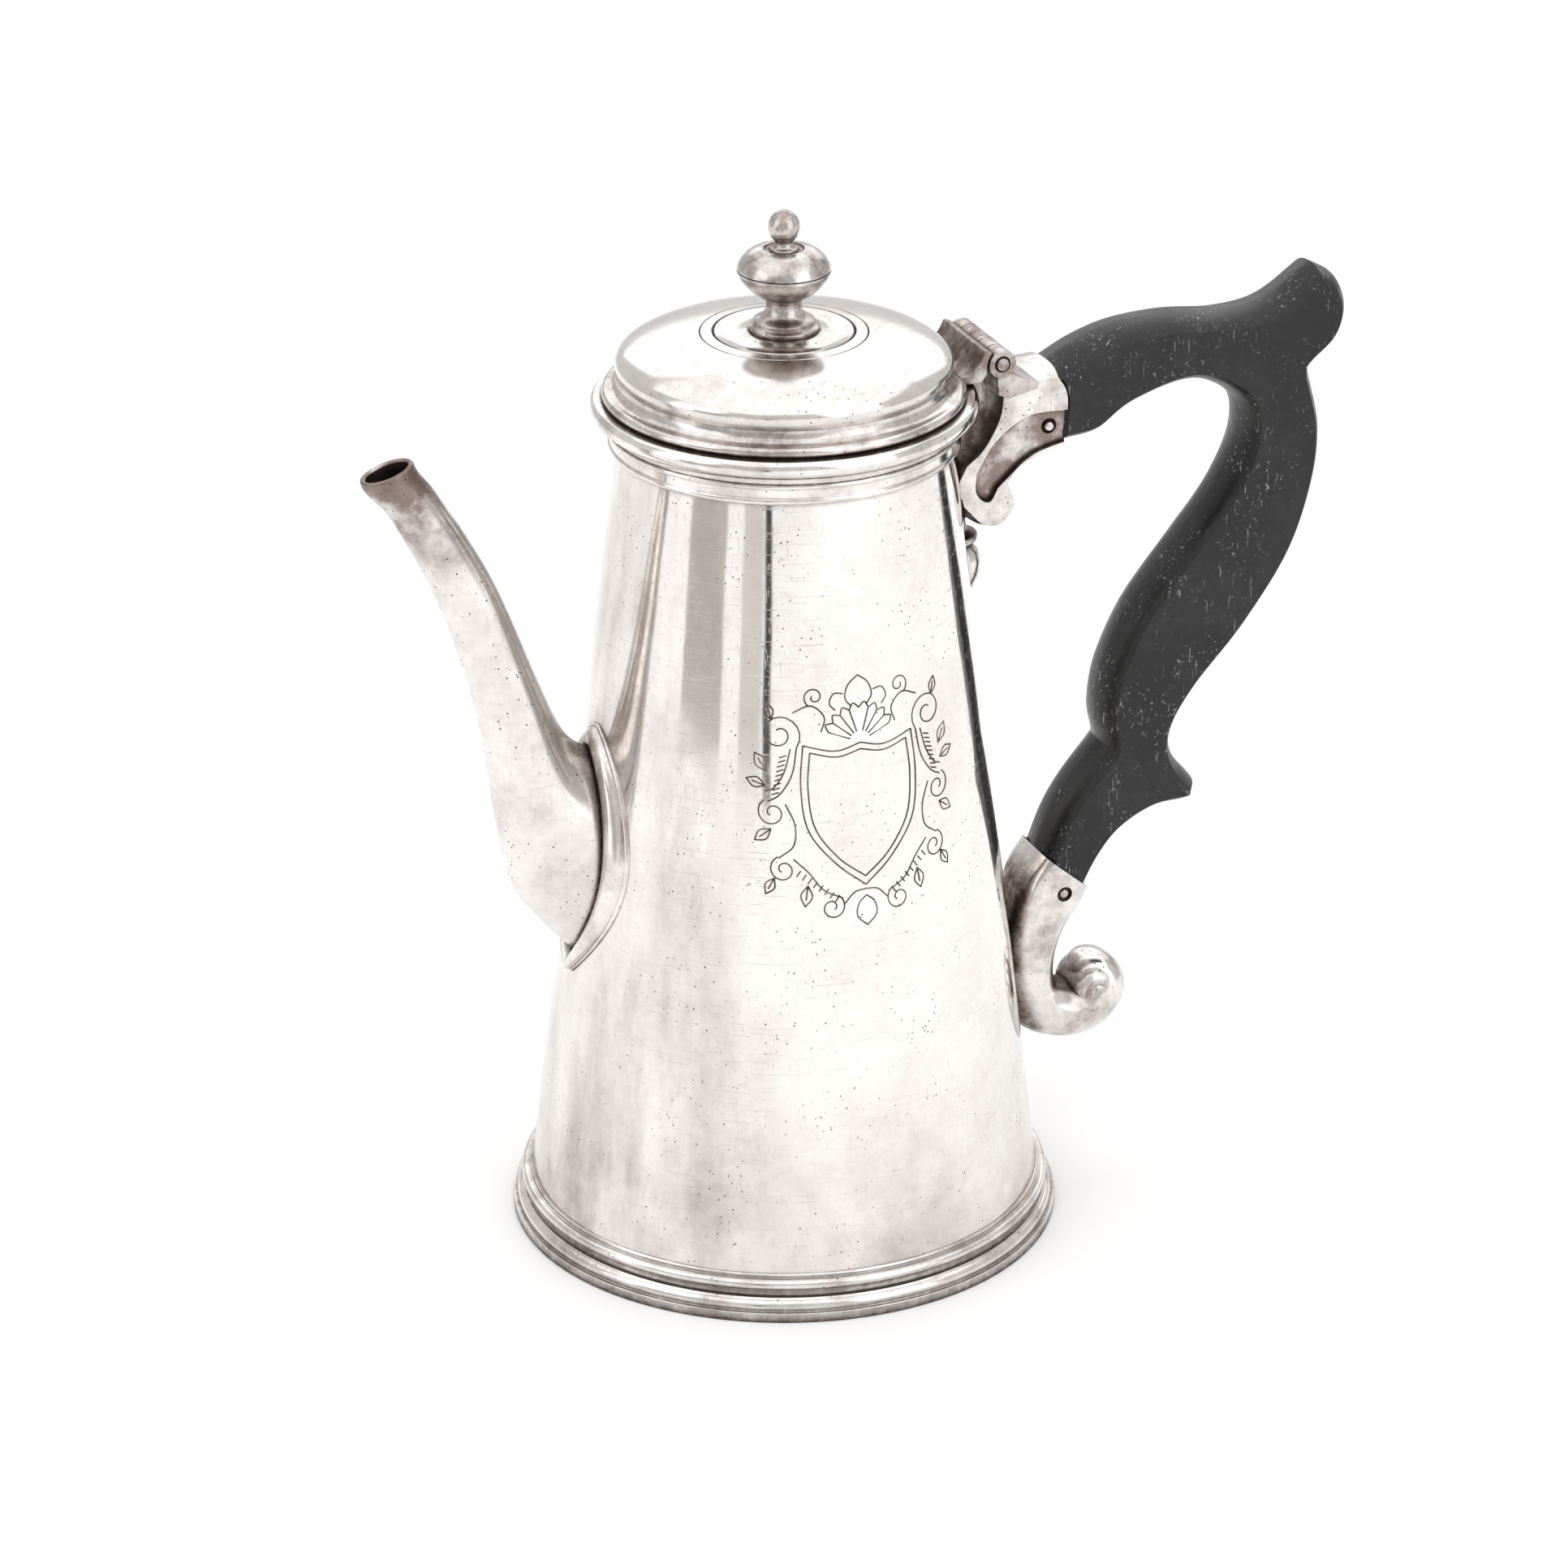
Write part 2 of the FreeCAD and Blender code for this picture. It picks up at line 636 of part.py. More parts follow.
def make_upper_socket():
    """Ferrule on the body with a small volute below and a sunk panel on each side."""
    line = upper_joint()
    outline = [
        line,
        [line[-1], near_mouth(20.5, -9.3), near_mouth(16.6, -11.0), near_mouth(13.5, -13.9)],
        [near_mouth(13.5, -13.9), near_mouth(15.2, -19.0), near_mouth(11.6, -23.8),
         near_mouth(6.4, -23.4), near_mouth(0.8, -18.5)],
        [near_mouth(0.8, -18.5), near_mouth(-3.0, -18.5)],
        [near_mouth(-3.0, -18.5), near_mouth(-3.0, -9.0)],
        [near_mouth(-3.0, -9.0), near_mouth(2.0, -10.0)],
        [near_mouth(2.0, -10.0), near_mouth(6.2, -4.4), near_mouth(9.6, 2.0), near_mouth(10.2, 8.7)],
        [near_mouth(10.2, 8.7), near_mouth(17.0, 9.7), line[0]],
    ]
    solid = slab(outline, size("socket_half_width")).cut(wall_cone(0.0))
    panel = [
        [near_mouth(26.0, 1.0), near_mouth(17.0, 0.8), near_mouth(9.6, -3.9), near_mouth(5.2, -10.6)],
        [near_mouth(5.2, -10.6), near_mouth(6.0, -16.4), near_mouth(9.6, -16.6)],
        [near_mouth(9.6, -16.6), near_mouth(12.0, -10.9), near_mouth(17.6, -7.6), near_mouth(25.4, -5.4)],
        [near_mouth(25.4, -5.4), near_mouth(26.0, 1.0)],
    ]
    depth = size("panel_depth")
    for side in (1, -1):
        sunk = slab(panel, depth)
        sunk.translate(Vector(0, side * size("socket_half_width"), 0))
        solid = solid.cut(sunk)
    solid = solid.cut(upper_tenon(size("tenon_gap")))
    solid = solid.cut(rod(size("rivet_radius"), upper_rivet_place(), SLACK))
    return piece("upper_socket", main_solid(solid))


def make_socket_drop():
    """Neck, bead and pointed shell soldered to the body under the upper socket."""
    outline = [
        [near_mouth(5.6, -23.0), near_mouth(7.4, -25.8), near_mouth(9.6, -27.6), near_mouth(8.2, -29.6)],
        [near_mouth(8.2, -29.6), near_mouth(10.2, -33.5), near_mouth(9.6, -37.4),
         near_mouth(6.0, -42.5)],
        [near_mouth(6.0, -42.5), near_mouth(-2.0, -42.5)],
        [near_mouth(-2.0, -42.5), near_mouth(-2.0, -23.0)],
        [near_mouth(-2.0, -23.0), near_mouth(5.6, -23.0)],
    ]
    solid = slab(outline, DROP_HALF_WIDTH).cut(wall_cone(0.0))
    solid = solid.cut(doc.getObject("upper_socket").Shape)
    piece("socket_drop", main_solid(solid))


def make_lower_socket():
    """Ferrule that sweeps down against the body and curls up into a bold volute."""
    line = lower_joint()
    outline = [
        line,
        [line[-1], beside(18.1, 30.1), beside(14.8, 27.4), beside(11.9, 23.2),
         beside(12.0, 20.3), beside(13.6, 18.2)],
        [beside(13.6, 18.2), beside(17.2, 19.0), beside(20.4, 21.0), beside(24.0, 21.6),
         beside(28.6, 19.0), beside(28.6, 14.6), beside(25.0, 12.0), beside(19.0, 10.9),
         beside(11.0, 11.1), beside(2.0, 13.9)],
        [beside(2.0, 13.9), beside(-3.0, 15.5)],
        [beside(-3.0, 15.5), beside(-3.0, 31.5)],
        [beside(-3.0, 31.5), beside(2.0, 31.0)],
        [beside(2.0, 31.0), beside(6.6, 34.4), line[0]],
    ]
    solid = slab(outline, size("socket_half_width")).cut(wall_cone(0.0))
    solid = solid.cut(lower_tenon(size("tenon_gap")))
    solid = solid.cut(rod(size("rivet_radius"), lower_rivet_place(), SLACK))
    return piece("lower_socket", main_solid(solid))


def make_handle():
    """Wooden double scroll with a thumb spur above and a small spur below, and its tenons."""
    upper = upper_joint()
    lower = lower_joint()
    thumb_tip = near_mouth(86.8, 23.9)
    heel = near_mouth(85.3, 1.6)
    lower_tip = beside(50.0, 45.2)
    crook = beside(29.0, 52.2)
    outline = [
        upper[::-1],
        [upper[0], near_mouth(32.0, 13.8), near_mouth(41.0, 16.3), near_mouth(53.0, 17.0),
         near_mouth(66.0, 15.9), near_mouth(76.5, 17.4), thumb_tip],
        [thumb_tip, near_mouth(91.8, 20.6), near_mouth(93.8, 14.2), near_mouth(91.6, 7.2), heel],
        [heel, beside(87.0, 92.8), beside(84.2, 84.8), beside(77.0, 75.5), beside(64.6, 66.2),
         beside(51.8, 58.6), beside(45.6, 53.4), beside(45.4, 49.4), lower_tip],
        [lower_tip, beside(47.6, 42.7), beside(38.6, 42.2), beside(30.6, 40.0),
         beside(25.2, 36.8), lower[-1]],
        lower[::-1],
        [lower[0], beside(15.4, 42.8), beside(20.5, 46.9), crook],
        [crook, beside(28.6, 56.6), beside(31.6, 62.8), beside(39.4, 70.6), beside(51.0, 78.2),
         beside(62.2, 85.6), beside(68.4, 92.4), beside(67.6, 97.8), near_mouth(57.0, 1.9),
         near_mouth(43.0, -1.2), near_mouth(34.6, -6.4), upper[-1]],
    ]
    wood = slab(outline, size("handle_half_width"))
    wood = wood.fuse(upper_tenon(0.0)).fuse(lower_tenon(0.0))
    wood = wood.cut(rod(size("rivet_radius"), upper_rivet_place(), SLACK))
    wood = wood.cut(rod(size("rivet_radius"), lower_rivet_place(), SLACK))
    piece("handle", main_solid(wood))


def upper_rivet_place():
    """Return the middle of the rivet through the upper socket."""
    return near_mouth(22.4, -2.6)


def lower_rivet_place():
    """Return the middle of the rivet through the lower socket."""
    return beside(14.4, 33.0)


def make_rivets():
    """One rivet across each socket and tenon, standing slightly proud on both sides."""
    half = size("socket_half_width") + 0.3
    piece("upper_rivet", rod(size("rivet_radius"), upper_rivet_place(), half - size("panel_depth")))
    piece("lower_rivet", rod(size("rivet_radius"), lower_rivet_place(), half))


# Putting it together

def build():
    """Make every piece and return the ones that are parts of the pot."""
    make_body_wall()
    make_base_disc()
    make_foot_ring()
    make_mouth_moulding()
    lid_pieces = make_lid()
    make_finial()
    make_knuckles()
    make_hinge_pin()
    doc.recompute()
    socket = make_upper_socket()
    make_socket_drop()
    make_lower_socket()
    make_handle()
    make_rivets()
    make_hinge_leaves(lid_pieces, socket)
    make_spout()
    doc.recompute()
    names = [
        "body_wall", "base_disc", "foot_ring", "mouth_moulding", "spout", "spout_collar",
        "upper_socket", "socket_drop", "lower_socket", "handle", "upper_rivet", "lower_rivet",
        "body_hinge_leaf", "body_knuckle_1", "body_knuckle_2", "body_knuckle_3", "hinge_pin",
        "lid_hinge_leaf", "lid_knuckle_1", "lid_knuckle_2", "lid_bezel", "lid_dome",
        "finial_pedestal", "finial_knop_lower", "finial_knop_upper", "finial_ball",
    ]
    return [doc.getObject(name) for name in names]


def check(pieces):
    """Stop if any object failed to build or any piece isn't one valid solid."""
    for made in doc.Objects:
        if "Invalid" in made.State or "Error" in made.State:
            raise RuntimeError("%s failed: %s" % (made.Name, made.State))
    for made in pieces:
        if made.Shape.isNull() or not made.Shape.isValid():
            raise RuntimeError("%s has no valid shape" % made.Label)
        if len(made.Shape.Solids) != 1:
            raise RuntimeError("%s has %d solids" % (made.Label, len(made.Shape.Solids)))


def export(pieces):
    """Write one STEP file for each piece."""
    os.makedirs("parts", exist_ok=True)
    for made in pieces:
        made.Shape.exportStep(os.path.join("parts", made.Label + ".step"))


pieces = build()
check(pieces)
export(pieces)
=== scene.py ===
import math

import bmesh
import bpy
from bpy.props import FloatProperty, FloatVectorProperty, IntProperty, PointerProperty
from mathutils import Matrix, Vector


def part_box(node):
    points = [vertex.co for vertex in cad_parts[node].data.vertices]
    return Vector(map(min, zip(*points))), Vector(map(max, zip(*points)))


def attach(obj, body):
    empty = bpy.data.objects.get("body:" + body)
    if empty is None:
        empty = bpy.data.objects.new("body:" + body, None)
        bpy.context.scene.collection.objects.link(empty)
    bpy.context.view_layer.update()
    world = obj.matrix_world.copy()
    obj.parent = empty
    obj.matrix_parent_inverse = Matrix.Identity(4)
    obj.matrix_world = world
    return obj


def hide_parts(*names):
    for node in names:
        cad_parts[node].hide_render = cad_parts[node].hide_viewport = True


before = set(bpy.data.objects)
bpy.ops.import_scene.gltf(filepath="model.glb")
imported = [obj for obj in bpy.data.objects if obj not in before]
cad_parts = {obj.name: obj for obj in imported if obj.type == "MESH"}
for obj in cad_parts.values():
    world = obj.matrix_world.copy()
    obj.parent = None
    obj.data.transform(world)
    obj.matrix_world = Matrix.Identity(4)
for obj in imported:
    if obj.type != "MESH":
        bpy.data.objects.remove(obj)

bl_info = {
    "name": "Silver coffee pot",
    "version": (1, 0, 0),
    "blender": (4, 5, 0),
    "location": "3D View > Sidebar > Coffee Pot",
    "description": "Tapered silver coffee pot with a wooden scroll handle",
    "category": "Add Mesh",
}

# Outlines are written in millimetres and made in metres.
MM = 0.001
X, Y, Z = range(3)
LOW, HIGH = range(2)
# Thickness of the raised sheet, and how far the mouth's roll stands out, in millimetres.
SHEET = 1.2
MOUTH_ROLL = 5.2
# Flats around the wide turned pieces, so that no facet shows in their reflections.
FINE = 256
# Degrees from the pot's side round to the camera.
CAMERA_TURN = 22.25
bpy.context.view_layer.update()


def colour(code):
    """Turn an sRGB hex value into linear colour."""
    parts = [int(code[start:start + 2], 16) / 255.0 for start in (1, 3, 5)]
    return [part / 12.92 if part <= 0.04045 else ((part + 0.055) / 1.055) ** 2.4 for part in parts]


def box_edge(node, axis, end):
    """Return one side of a node's box, in millimetres."""
    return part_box(node)[end][axis] / MM


# Sizes and colours

class PotSizes(bpy.types.PropertyGroup):
    """Sizes that the turned pieces and the fittings are drawn from."""
    body_radius: FloatProperty(
        name="Body radius", description="Outside of the body at the top of the foot",
        default=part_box("body_wall")[HIGH][X], unit="LENGTH")
    mouth_radius: FloatProperty(
        name="Mouth radius", description="Outside of the body at the mouth moulding",
        default=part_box("mouth_moulding")[HIGH][X] - MOUTH_ROLL * MM, unit="LENGTH")
    mouth_height: FloatProperty(
        name="Mouth height", description="Resting plane to the mouth moulding",
        default=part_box("mouth_moulding")[LOW][Z], unit="LENGTH")
    foot_height: FloatProperty(
        name="Foot height", description="Resting plane to the lower edge of the body",
        default=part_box("foot_ring")[HIGH][Z], unit="LENGTH")
    turning_steps: IntProperty(
        name="Turning steps", description="Flats around each turned piece",
        default=192, min=24, max=360)


class SilverLook(bpy.types.PropertyGroup):
    """Colours of old polished silver."""
    bright: FloatVectorProperty(
        name="Bright silver", description="Where a cloth has reached",
        subtype="COLOR", size=3, default=colour("#F8F5F1"))
    tarnish: FloatVectorProperty(
        name="Tarnish", description="Thin warm grey film",
        subtype="COLOR", size=3, default=colour("#8A7B76"))
    # The crevice colour is also painted shade: it is laid where ambient occlusion finds corners, as
    # well as on pits
    crevice: FloatVectorProperty(
        name="Crevice", description="Brown black sulphide and old polish in corners",
        subtype="COLOR", size=3, default=colour("#4A3B33"))
    # The sheltered film colour is also painted shade where ambient occlusion finds the crooks behind
    # the hinge and the castings
    red_film_and_shade: FloatVectorProperty(
        name="Sheltered film", description="Red brown film where nothing rubs",
        subtype="COLOR", size=3, default=colour("#564238"))


class WoodLook(bpy.types.PropertyGroup):
    """Colours of the ebonised handle."""
    stain: FloatVectorProperty(
        name="Stain", description="Black stained fruitwood",
        subtype="COLOR", size=3, default=colour("#141415"))
    worn: FloatVectorProperty(
        name="Worn", description="Greyer wood where hands and cloths rub",
        subtype="COLOR", size=3, default=colour("#252526"))
    scuff: FloatVectorProperty(
        name="Scuff", description="Pale marks and old polish in the pores",
        subtype="COLOR", size=3, default=colour("#A9A9A8"))


def sizes():
    """Return the sizes in millimetres: body radius, mouth radius, mouth height, foot height."""
    held = bpy.context.scene.pot_sizes
    lengths = (held.body_radius, held.mouth_radius, held.mouth_height, held.foot_height)
    return [length / MM for length in lengths]


def wall_radius(height):
    """Return the outer radius of the tapered body at a height."""
    body_radius, mouth_radius, mouth_height, foot_height = sizes()
    share = (height - foot_height) / (mouth_height - foot_height)
    return body_radius + (mouth_radius - body_radius) * share


def near_mouth(reach, rise):
    """Place a point by its reach beyond the mouth radius and its rise above the moulding."""
    _, mouth_radius, mouth_height, _ = sizes()
    return Vector((mouth_radius + reach, 0, mouth_height + rise))


def beside(reach, level):
    """Place a point by its reach from the wall and its level, in percent of the body."""
    _, _, mouth_height, foot_height = sizes()
    height = foot_height + level / 100.0 * (mouth_height - foot_height)
    return Vector((wall_radius(height) + reach, 0, height))


def near_hinge(reach, rise):
    """Place a point from the hinge axis."""
    low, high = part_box("hinge_pin")
    return Vector(((low[X] + high[X]) / 2 / MM + reach, 0, (low[Z] + high[Z]) / 2 / MM + rise))


def places(origin, *pairs):
    """Place pairs of numbers with one of the functions above."""
    return [origin(*pair) for pair in pairs]


# Lines

def curve_through(points, count):
    """Return count points on a smooth curve through tuples of numbers."""
    points = [tuple(point) for point in points]
    if len(points) == 2:
        points = [points[0], tuple((a + b) / 2 for a, b in zip(*points)), points[1]]
    spans = len(points) - 1
    made = []
    for number in range(count):
        place = number / (count - 1.0) * spans
        span = min(int(place), spans - 1)
        t = place - span
        second, third = points[span], points[span + 1]
        first = points[span - 1] if span else [2 * a - b for a, b in zip(second, third)]
        last = points[span + 2] if span + 2 <= spans else [2 * a - b for a, b in zip(third, second)]
        made.append(tuple(
            0.5 * (2 * b + (c - a) * t + (2 * a - 5 * b + 4 * c - d) * t * t
                   + (3 * b - a - 3 * c + d) * t ** 3)
            for a, b, c, d in zip(first, second, third, last)))
    return made


def arc(start, through, end, count=9):
    """Return points on the circle through three (radius, height) places."""
    ax, ay = start
    bx, by = through
    cx, cy = end
    d = 2 * (ax * (by - cy) + bx * (cy - ay) + cx * (ay - by))
    ux = ((ax * ax + ay * ay) * (by - cy) + (bx * bx + by * by) * (cy - ay)
          + (cx * cx + cy * cy) * (ay - by)) / d
    uy = ((ax * ax + ay * ay) * (cx - bx) + (bx * bx + by * by) * (ax - cx)
          + (cx * cx + cy * cy) * (bx - ax)) / d
    first = math.atan2(ay - uy, ax - ux)
    middle = math.atan2(by - uy, bx - ux)
    last = math.atan2(cy - uy, cx - ux)
    radius = math.hypot(ax - ux, ay - uy)
    turn = (last - first) % (2 * math.pi)
    if (middle - first) % (2 * math.pi) > turn:
        turn -= 2 * math.pi
    angles = [first + turn * step / (count - 1.0) for step in range(count)]
    return [(ux + radius * math.cos(angle), uy + radius * math.sin(angle)) for angle in angles]


def profile(corners):
    """Return the points of a profile whose corners may carry the middle of an arc to the next."""
    points = []
    for index, corner in enumerate(corners):
        points.append(corner[:2])
        if len(corner) == 3:
            points.extend(arc(corner[:2], corner[2], corners[(index + 1) % len(corners)][:2])[1:-1])
    return points


def outline(stretches, spacing=1.2, straight=2.5):
    """Join stretches of places into one closed line.

    Points lie a spacing apart on a smooth stretch, and further apart on a straight one.
    """
    points = []
    for stretch in stretches:
        length = sum((b - a).length for a, b in zip(stretch, stretch[1:]))
        step = straight if len(stretch) == 2 else spacing
        count = max(2, int(round(length / step)) + 1)
        points.extend(curve_through(stretch, count)[:-1])
    return [Vector(point) for point in points]


# Ways of making a piece

def leave_edit():
    """Go back to object mode."""
    if bpy.context.object and bpy.context.object.mode != "OBJECT":
        bpy.ops.object.mode_set(mode="OBJECT")


def begin(kind, name, **settings):
    """Add one primitive with nothing else selected and go into edit mode."""
    leave_edit()
    bpy.ops.object.select_all(action="DESELECT")
    getattr(bpy.ops.mesh, "primitive_%s_add" % kind)(**settings)
    made = bpy.context.object
    made.name = name
    made.data.name = name
    bpy.ops.object.mode_set(mode="EDIT")
    return made


def draw(points):
    """Shrink the new primitive to one point and extrude it along points given in millimetres."""
    bpy.ops.mesh.merge(type="CENTER")
    for start, end in zip(points, points[1:]):
        step = (Vector(end) - Vector(start)) * MM
        bpy.ops.mesh.extrude_region_move(TRANSFORM_OT_translate={"value": step})


def close_up():
    """Merge doubles and turn every face outwards."""
    bpy.ops.mesh.select_all(action="SELECT")
    bpy.ops.mesh.remove_doubles(threshold=0.002 * MM)
    bpy.ops.mesh.normals_make_consistent(inside=False)


def apply(made, kind, **settings):
    """Add a modifier and apply it."""
    modifier = made.modifiers.new(kind.lower(), kind)
    for name, value in settings.items():
        setattr(modifier, name, value)
    bpy.ops.object.modifier_apply(modifier=modifier.name)


def take_out(made, tool):
    """Cut one piece with another, which is used up."""
    leave_edit()
    bpy.context.view_layer.objects.active = made
    apply(made, "BOOLEAN", operation="DIFFERENCE", object=tool, solver="EXACT")
    bpy.data.objects.remove(tool, do_unlink=True)


def finish(made, body, nodes, material, soften=0.0, corner=30, segments=2):
    """Soften the arrises, set the normals and give the piece its body and material."""
    leave_edit()
    bpy.ops.object.select_all(action="DESELECT")
    made.select_set(True)
    bpy.context.view_layer.objects.active = made
    bpy.ops.object.transform_apply(location=True, rotation=True, scale=True)
    if soften:
        apply(made, "BEVEL", width=soften * MM, segments=segments, limit_method="ANGLE",
              angle_limit=math.radians(corner), use_clamp_overlap=True)
    bpy.ops.object.shade_smooth_by_angle(angle=math.radians(50))
    apply(made, "WEIGHTED_NORMAL", keep_sharp=True, weight=60)
    made.data.materials.clear()
    made.data.materials.append(material)
    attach(made, body)
    if nodes:
        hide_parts(*nodes)
    return made


def turned(name, corners, closed=False, centre=(0, 0, 0), axis=(0, 0, 1), steps=None):
    """Spin a profile of (radius, height) corners about an axis."""
    centre = Vector(centre)
    axis = Vector(axis).normalized()
    side = axis.orthogonal().normalized() if abs(axis.z) < 0.999 else Vector((1, 0, 0))
    points = profile(corners)
    if closed:
        points = points + points[:1]
    places = [centre + side * radius + axis * height for radius, height in points]
    made = begin("plane", name, size=MM, location=places[0] * MM)
    draw(places)
    bpy.ops.mesh.select_all(action="SELECT")
    steps = steps or bpy.context.scene.pot_sizes.turning_steps
    bpy.ops.mesh.spin(steps=steps, angle=2 * math.pi, center=centre * MM, axis=axis)
    close_up()
    return made


def swept(name, rings, loop=False):
    """Extrude a closed ring of points through the places of the next rings."""
    made = begin("circle", name, vertices=len(rings[0]), radius=MM, fill_type="NOTHING")
    mesh = bmesh.from_edit_mesh(made.data)
    mesh.verts.ensure_lookup_table()
    for vertex, place in zip(mesh.verts, rings[0]):
        vertex.co = Vector(place) * MM
    bmesh.update_edit_mesh(made.data)
    for ring in rings[1:] + (rings[:1] if loop else []):
        bpy.ops.mesh.extrude_region_move()
        mesh = bmesh.from_edit_mesh(made.data)
        chosen = [vertex for vertex in mesh.verts if vertex.select]
        chosen.sort(key=lambda vertex: vertex.index)
        for vertex, place in zip(chosen, ring):
            vertex.co = Vector(place) * MM
        bmesh.update_edit_mesh(made.data)
    if not loop:
        # The last ring is still selected and is capped first, then the open first ring
        bpy.ops.mesh.edge_face_add()
        bpy.ops.mesh.select_all(action="DESELECT")
        mesh = bmesh.from_edit_mesh(made.data)
        for edge in mesh.edges:
            if len(edge.link_faces) == 1:
                edge.select = True
        bmesh.update_edit_mesh(made.data)
        bpy.ops.mesh.edge_face_add()
    close_up()
    return made


def drawn_in(line, inset):
    """Return a closed line moved in by inset, with places that would cross held at the corner."""
    if not inset:
        return list(line)
    count = len(line)
    area = sum(a.x * b.z - b.x * a.z for a, b in zip(line, line[1:] + line[:1]))
    turn = 1.0 if area > 0 else -1.0
    ways = [(line[(i + 1) % count] - line[i - 1]).normalized() for i in range(count)]
    moved = [place + Vector((-way.z, 0, way.x)) * turn * inset for place, way in zip(line, ways)]
    clear = []
    for place in moved:
        nearest = min(gap(place, a, b) for a, b in zip(line, line[1:] + line[:1]))
        clear.append(nearest > inset * 0.97)
    held = list(moved)
    for index in range(count):
        if clear[index]:
            continue
        before, after = index, index
        while not clear[before % count]:
            before -= 1
        while not clear[after % count]:
            after += 1
        held[index] = meeting(moved[before % count], ways[before % count],
                              moved[after % count], ways[after % count])
    return held


def gap(place, start, end):
    """Return the distance from a place to a straight stretch."""
    along = end - start
    share = max(0.0, min(1.0, (place - start).dot(along) / max(along.dot(along), 1e-12)))
    return (place - start - along * share).length


def meeting(first, first_way, second, second_way):
    """Return where two lines meet, or the middle of their places if they meet far off."""
    middle = (first + second) / 2
    cross = first_way.x * second_way.z - first_way.z * second_way.x
    if abs(cross) < 0.2:
        return middle
    between = second - first
    share = (between.x * second_way.z - between.z * second_way.x) / cross
    met = first + first_way * share
    return met if (met - middle).length < 1.5 * between.length + 0.1 else middle


def carved(name, line, passes):
    """Build up a closed outline both ways from its middle, drawn in by (inset, half width) passes."""
    rings = []
    for inset, half_width in passes[::-1]:
        rings.append([place - Vector((0, half_width, 0)) for place in drawn_in(line, inset)])
    for inset, half_width in passes:
        rings.append([place + Vector((0, half_width, 0)) for place in drawn_in(line, inset)])
    return swept(name, rings)


def slab(name, line, half_width):
    """Extrude a closed outline both ways along the hinge's direction."""
    shifted = [point - Vector((0, half_width, 0)) for point in line]
    made = begin("plane", name, size=MM, location=shifted[0] * MM)
    draw(shifted)
    bpy.ops.mesh.select_all(action="SELECT")
    bpy.ops.mesh.edge_face_add()
    bpy.ops.mesh.extrude_region_move(TRANSFORM_OT_translate={"value": (0, 2 * half_width * MM, 0)})
    close_up()
    return made


def rod(name, radius, length, place):
    """Make a cylinder along the hinge's direction; place is in millimetres."""
    return begin("cylinder", name, vertices=64, radius=radius * MM, depth=length * MM,
                 location=Vector(place) * MM, rotation=(math.pi / 2, 0, 0))


# Materials

def add(tree, kind, inputs=(), output=0, **settings):
    """Add one node with its settings, set or link its inputs and return one of its outputs."""
    made = tree.nodes.new("ShaderNode" + kind)
    for name, value in settings.items():
        setattr(made, name, value)
    for name, source in inputs.items() if isinstance(inputs, dict) else enumerate(inputs):
        socket = made.inputs[name]
        if isinstance(source, bpy.types.NodeSocket):
            tree.links.new(source, socket)
        else:
            socket.default_value = (*source, 1.0) if socket.type == "RGBA" else source
    return made.outputs[output]


def scale(millimetres):
    """Return the texture scale whose features are about this many millimetres apart."""
    return 1.0 / (millimetres * MM)


def new_material(name):
    """Return a new material, its node tree, its coordinates and its shader."""
    material = bpy.data.materials.new(name)
    material.use_nodes = True
    tree = material.node_tree
    return material, tree, add(tree, "TexCoord", output="Object"), tree.nodes["Principled BSDF"]


def patterns(tree, place, rows):
    """Return an uneven pattern for each named row.

    A row holds the size of its features in millimetres, its detail and roughness, the range that
    is spread from nothing to full, and how it is drawn out and turned.
    """
    made = {}
    for name, (size, detail, rough, span, *drawn) in rows.items():
        vector = place
        if drawn:
            vector = add(tree, "Mapping", dict(zip(("Scale", "Rotation"), drawn), Vector=place))
        shown = add(tree, "TexNoise", {"Vector": vector, "Scale": scale(size), "Detail": detail,
                                       "Roughness": rough})
        if span:
            shown = add(tree, "MapRange", (shown, *span), interpolation_type="SMOOTHSTEP")
        made[name] = shown
    return made


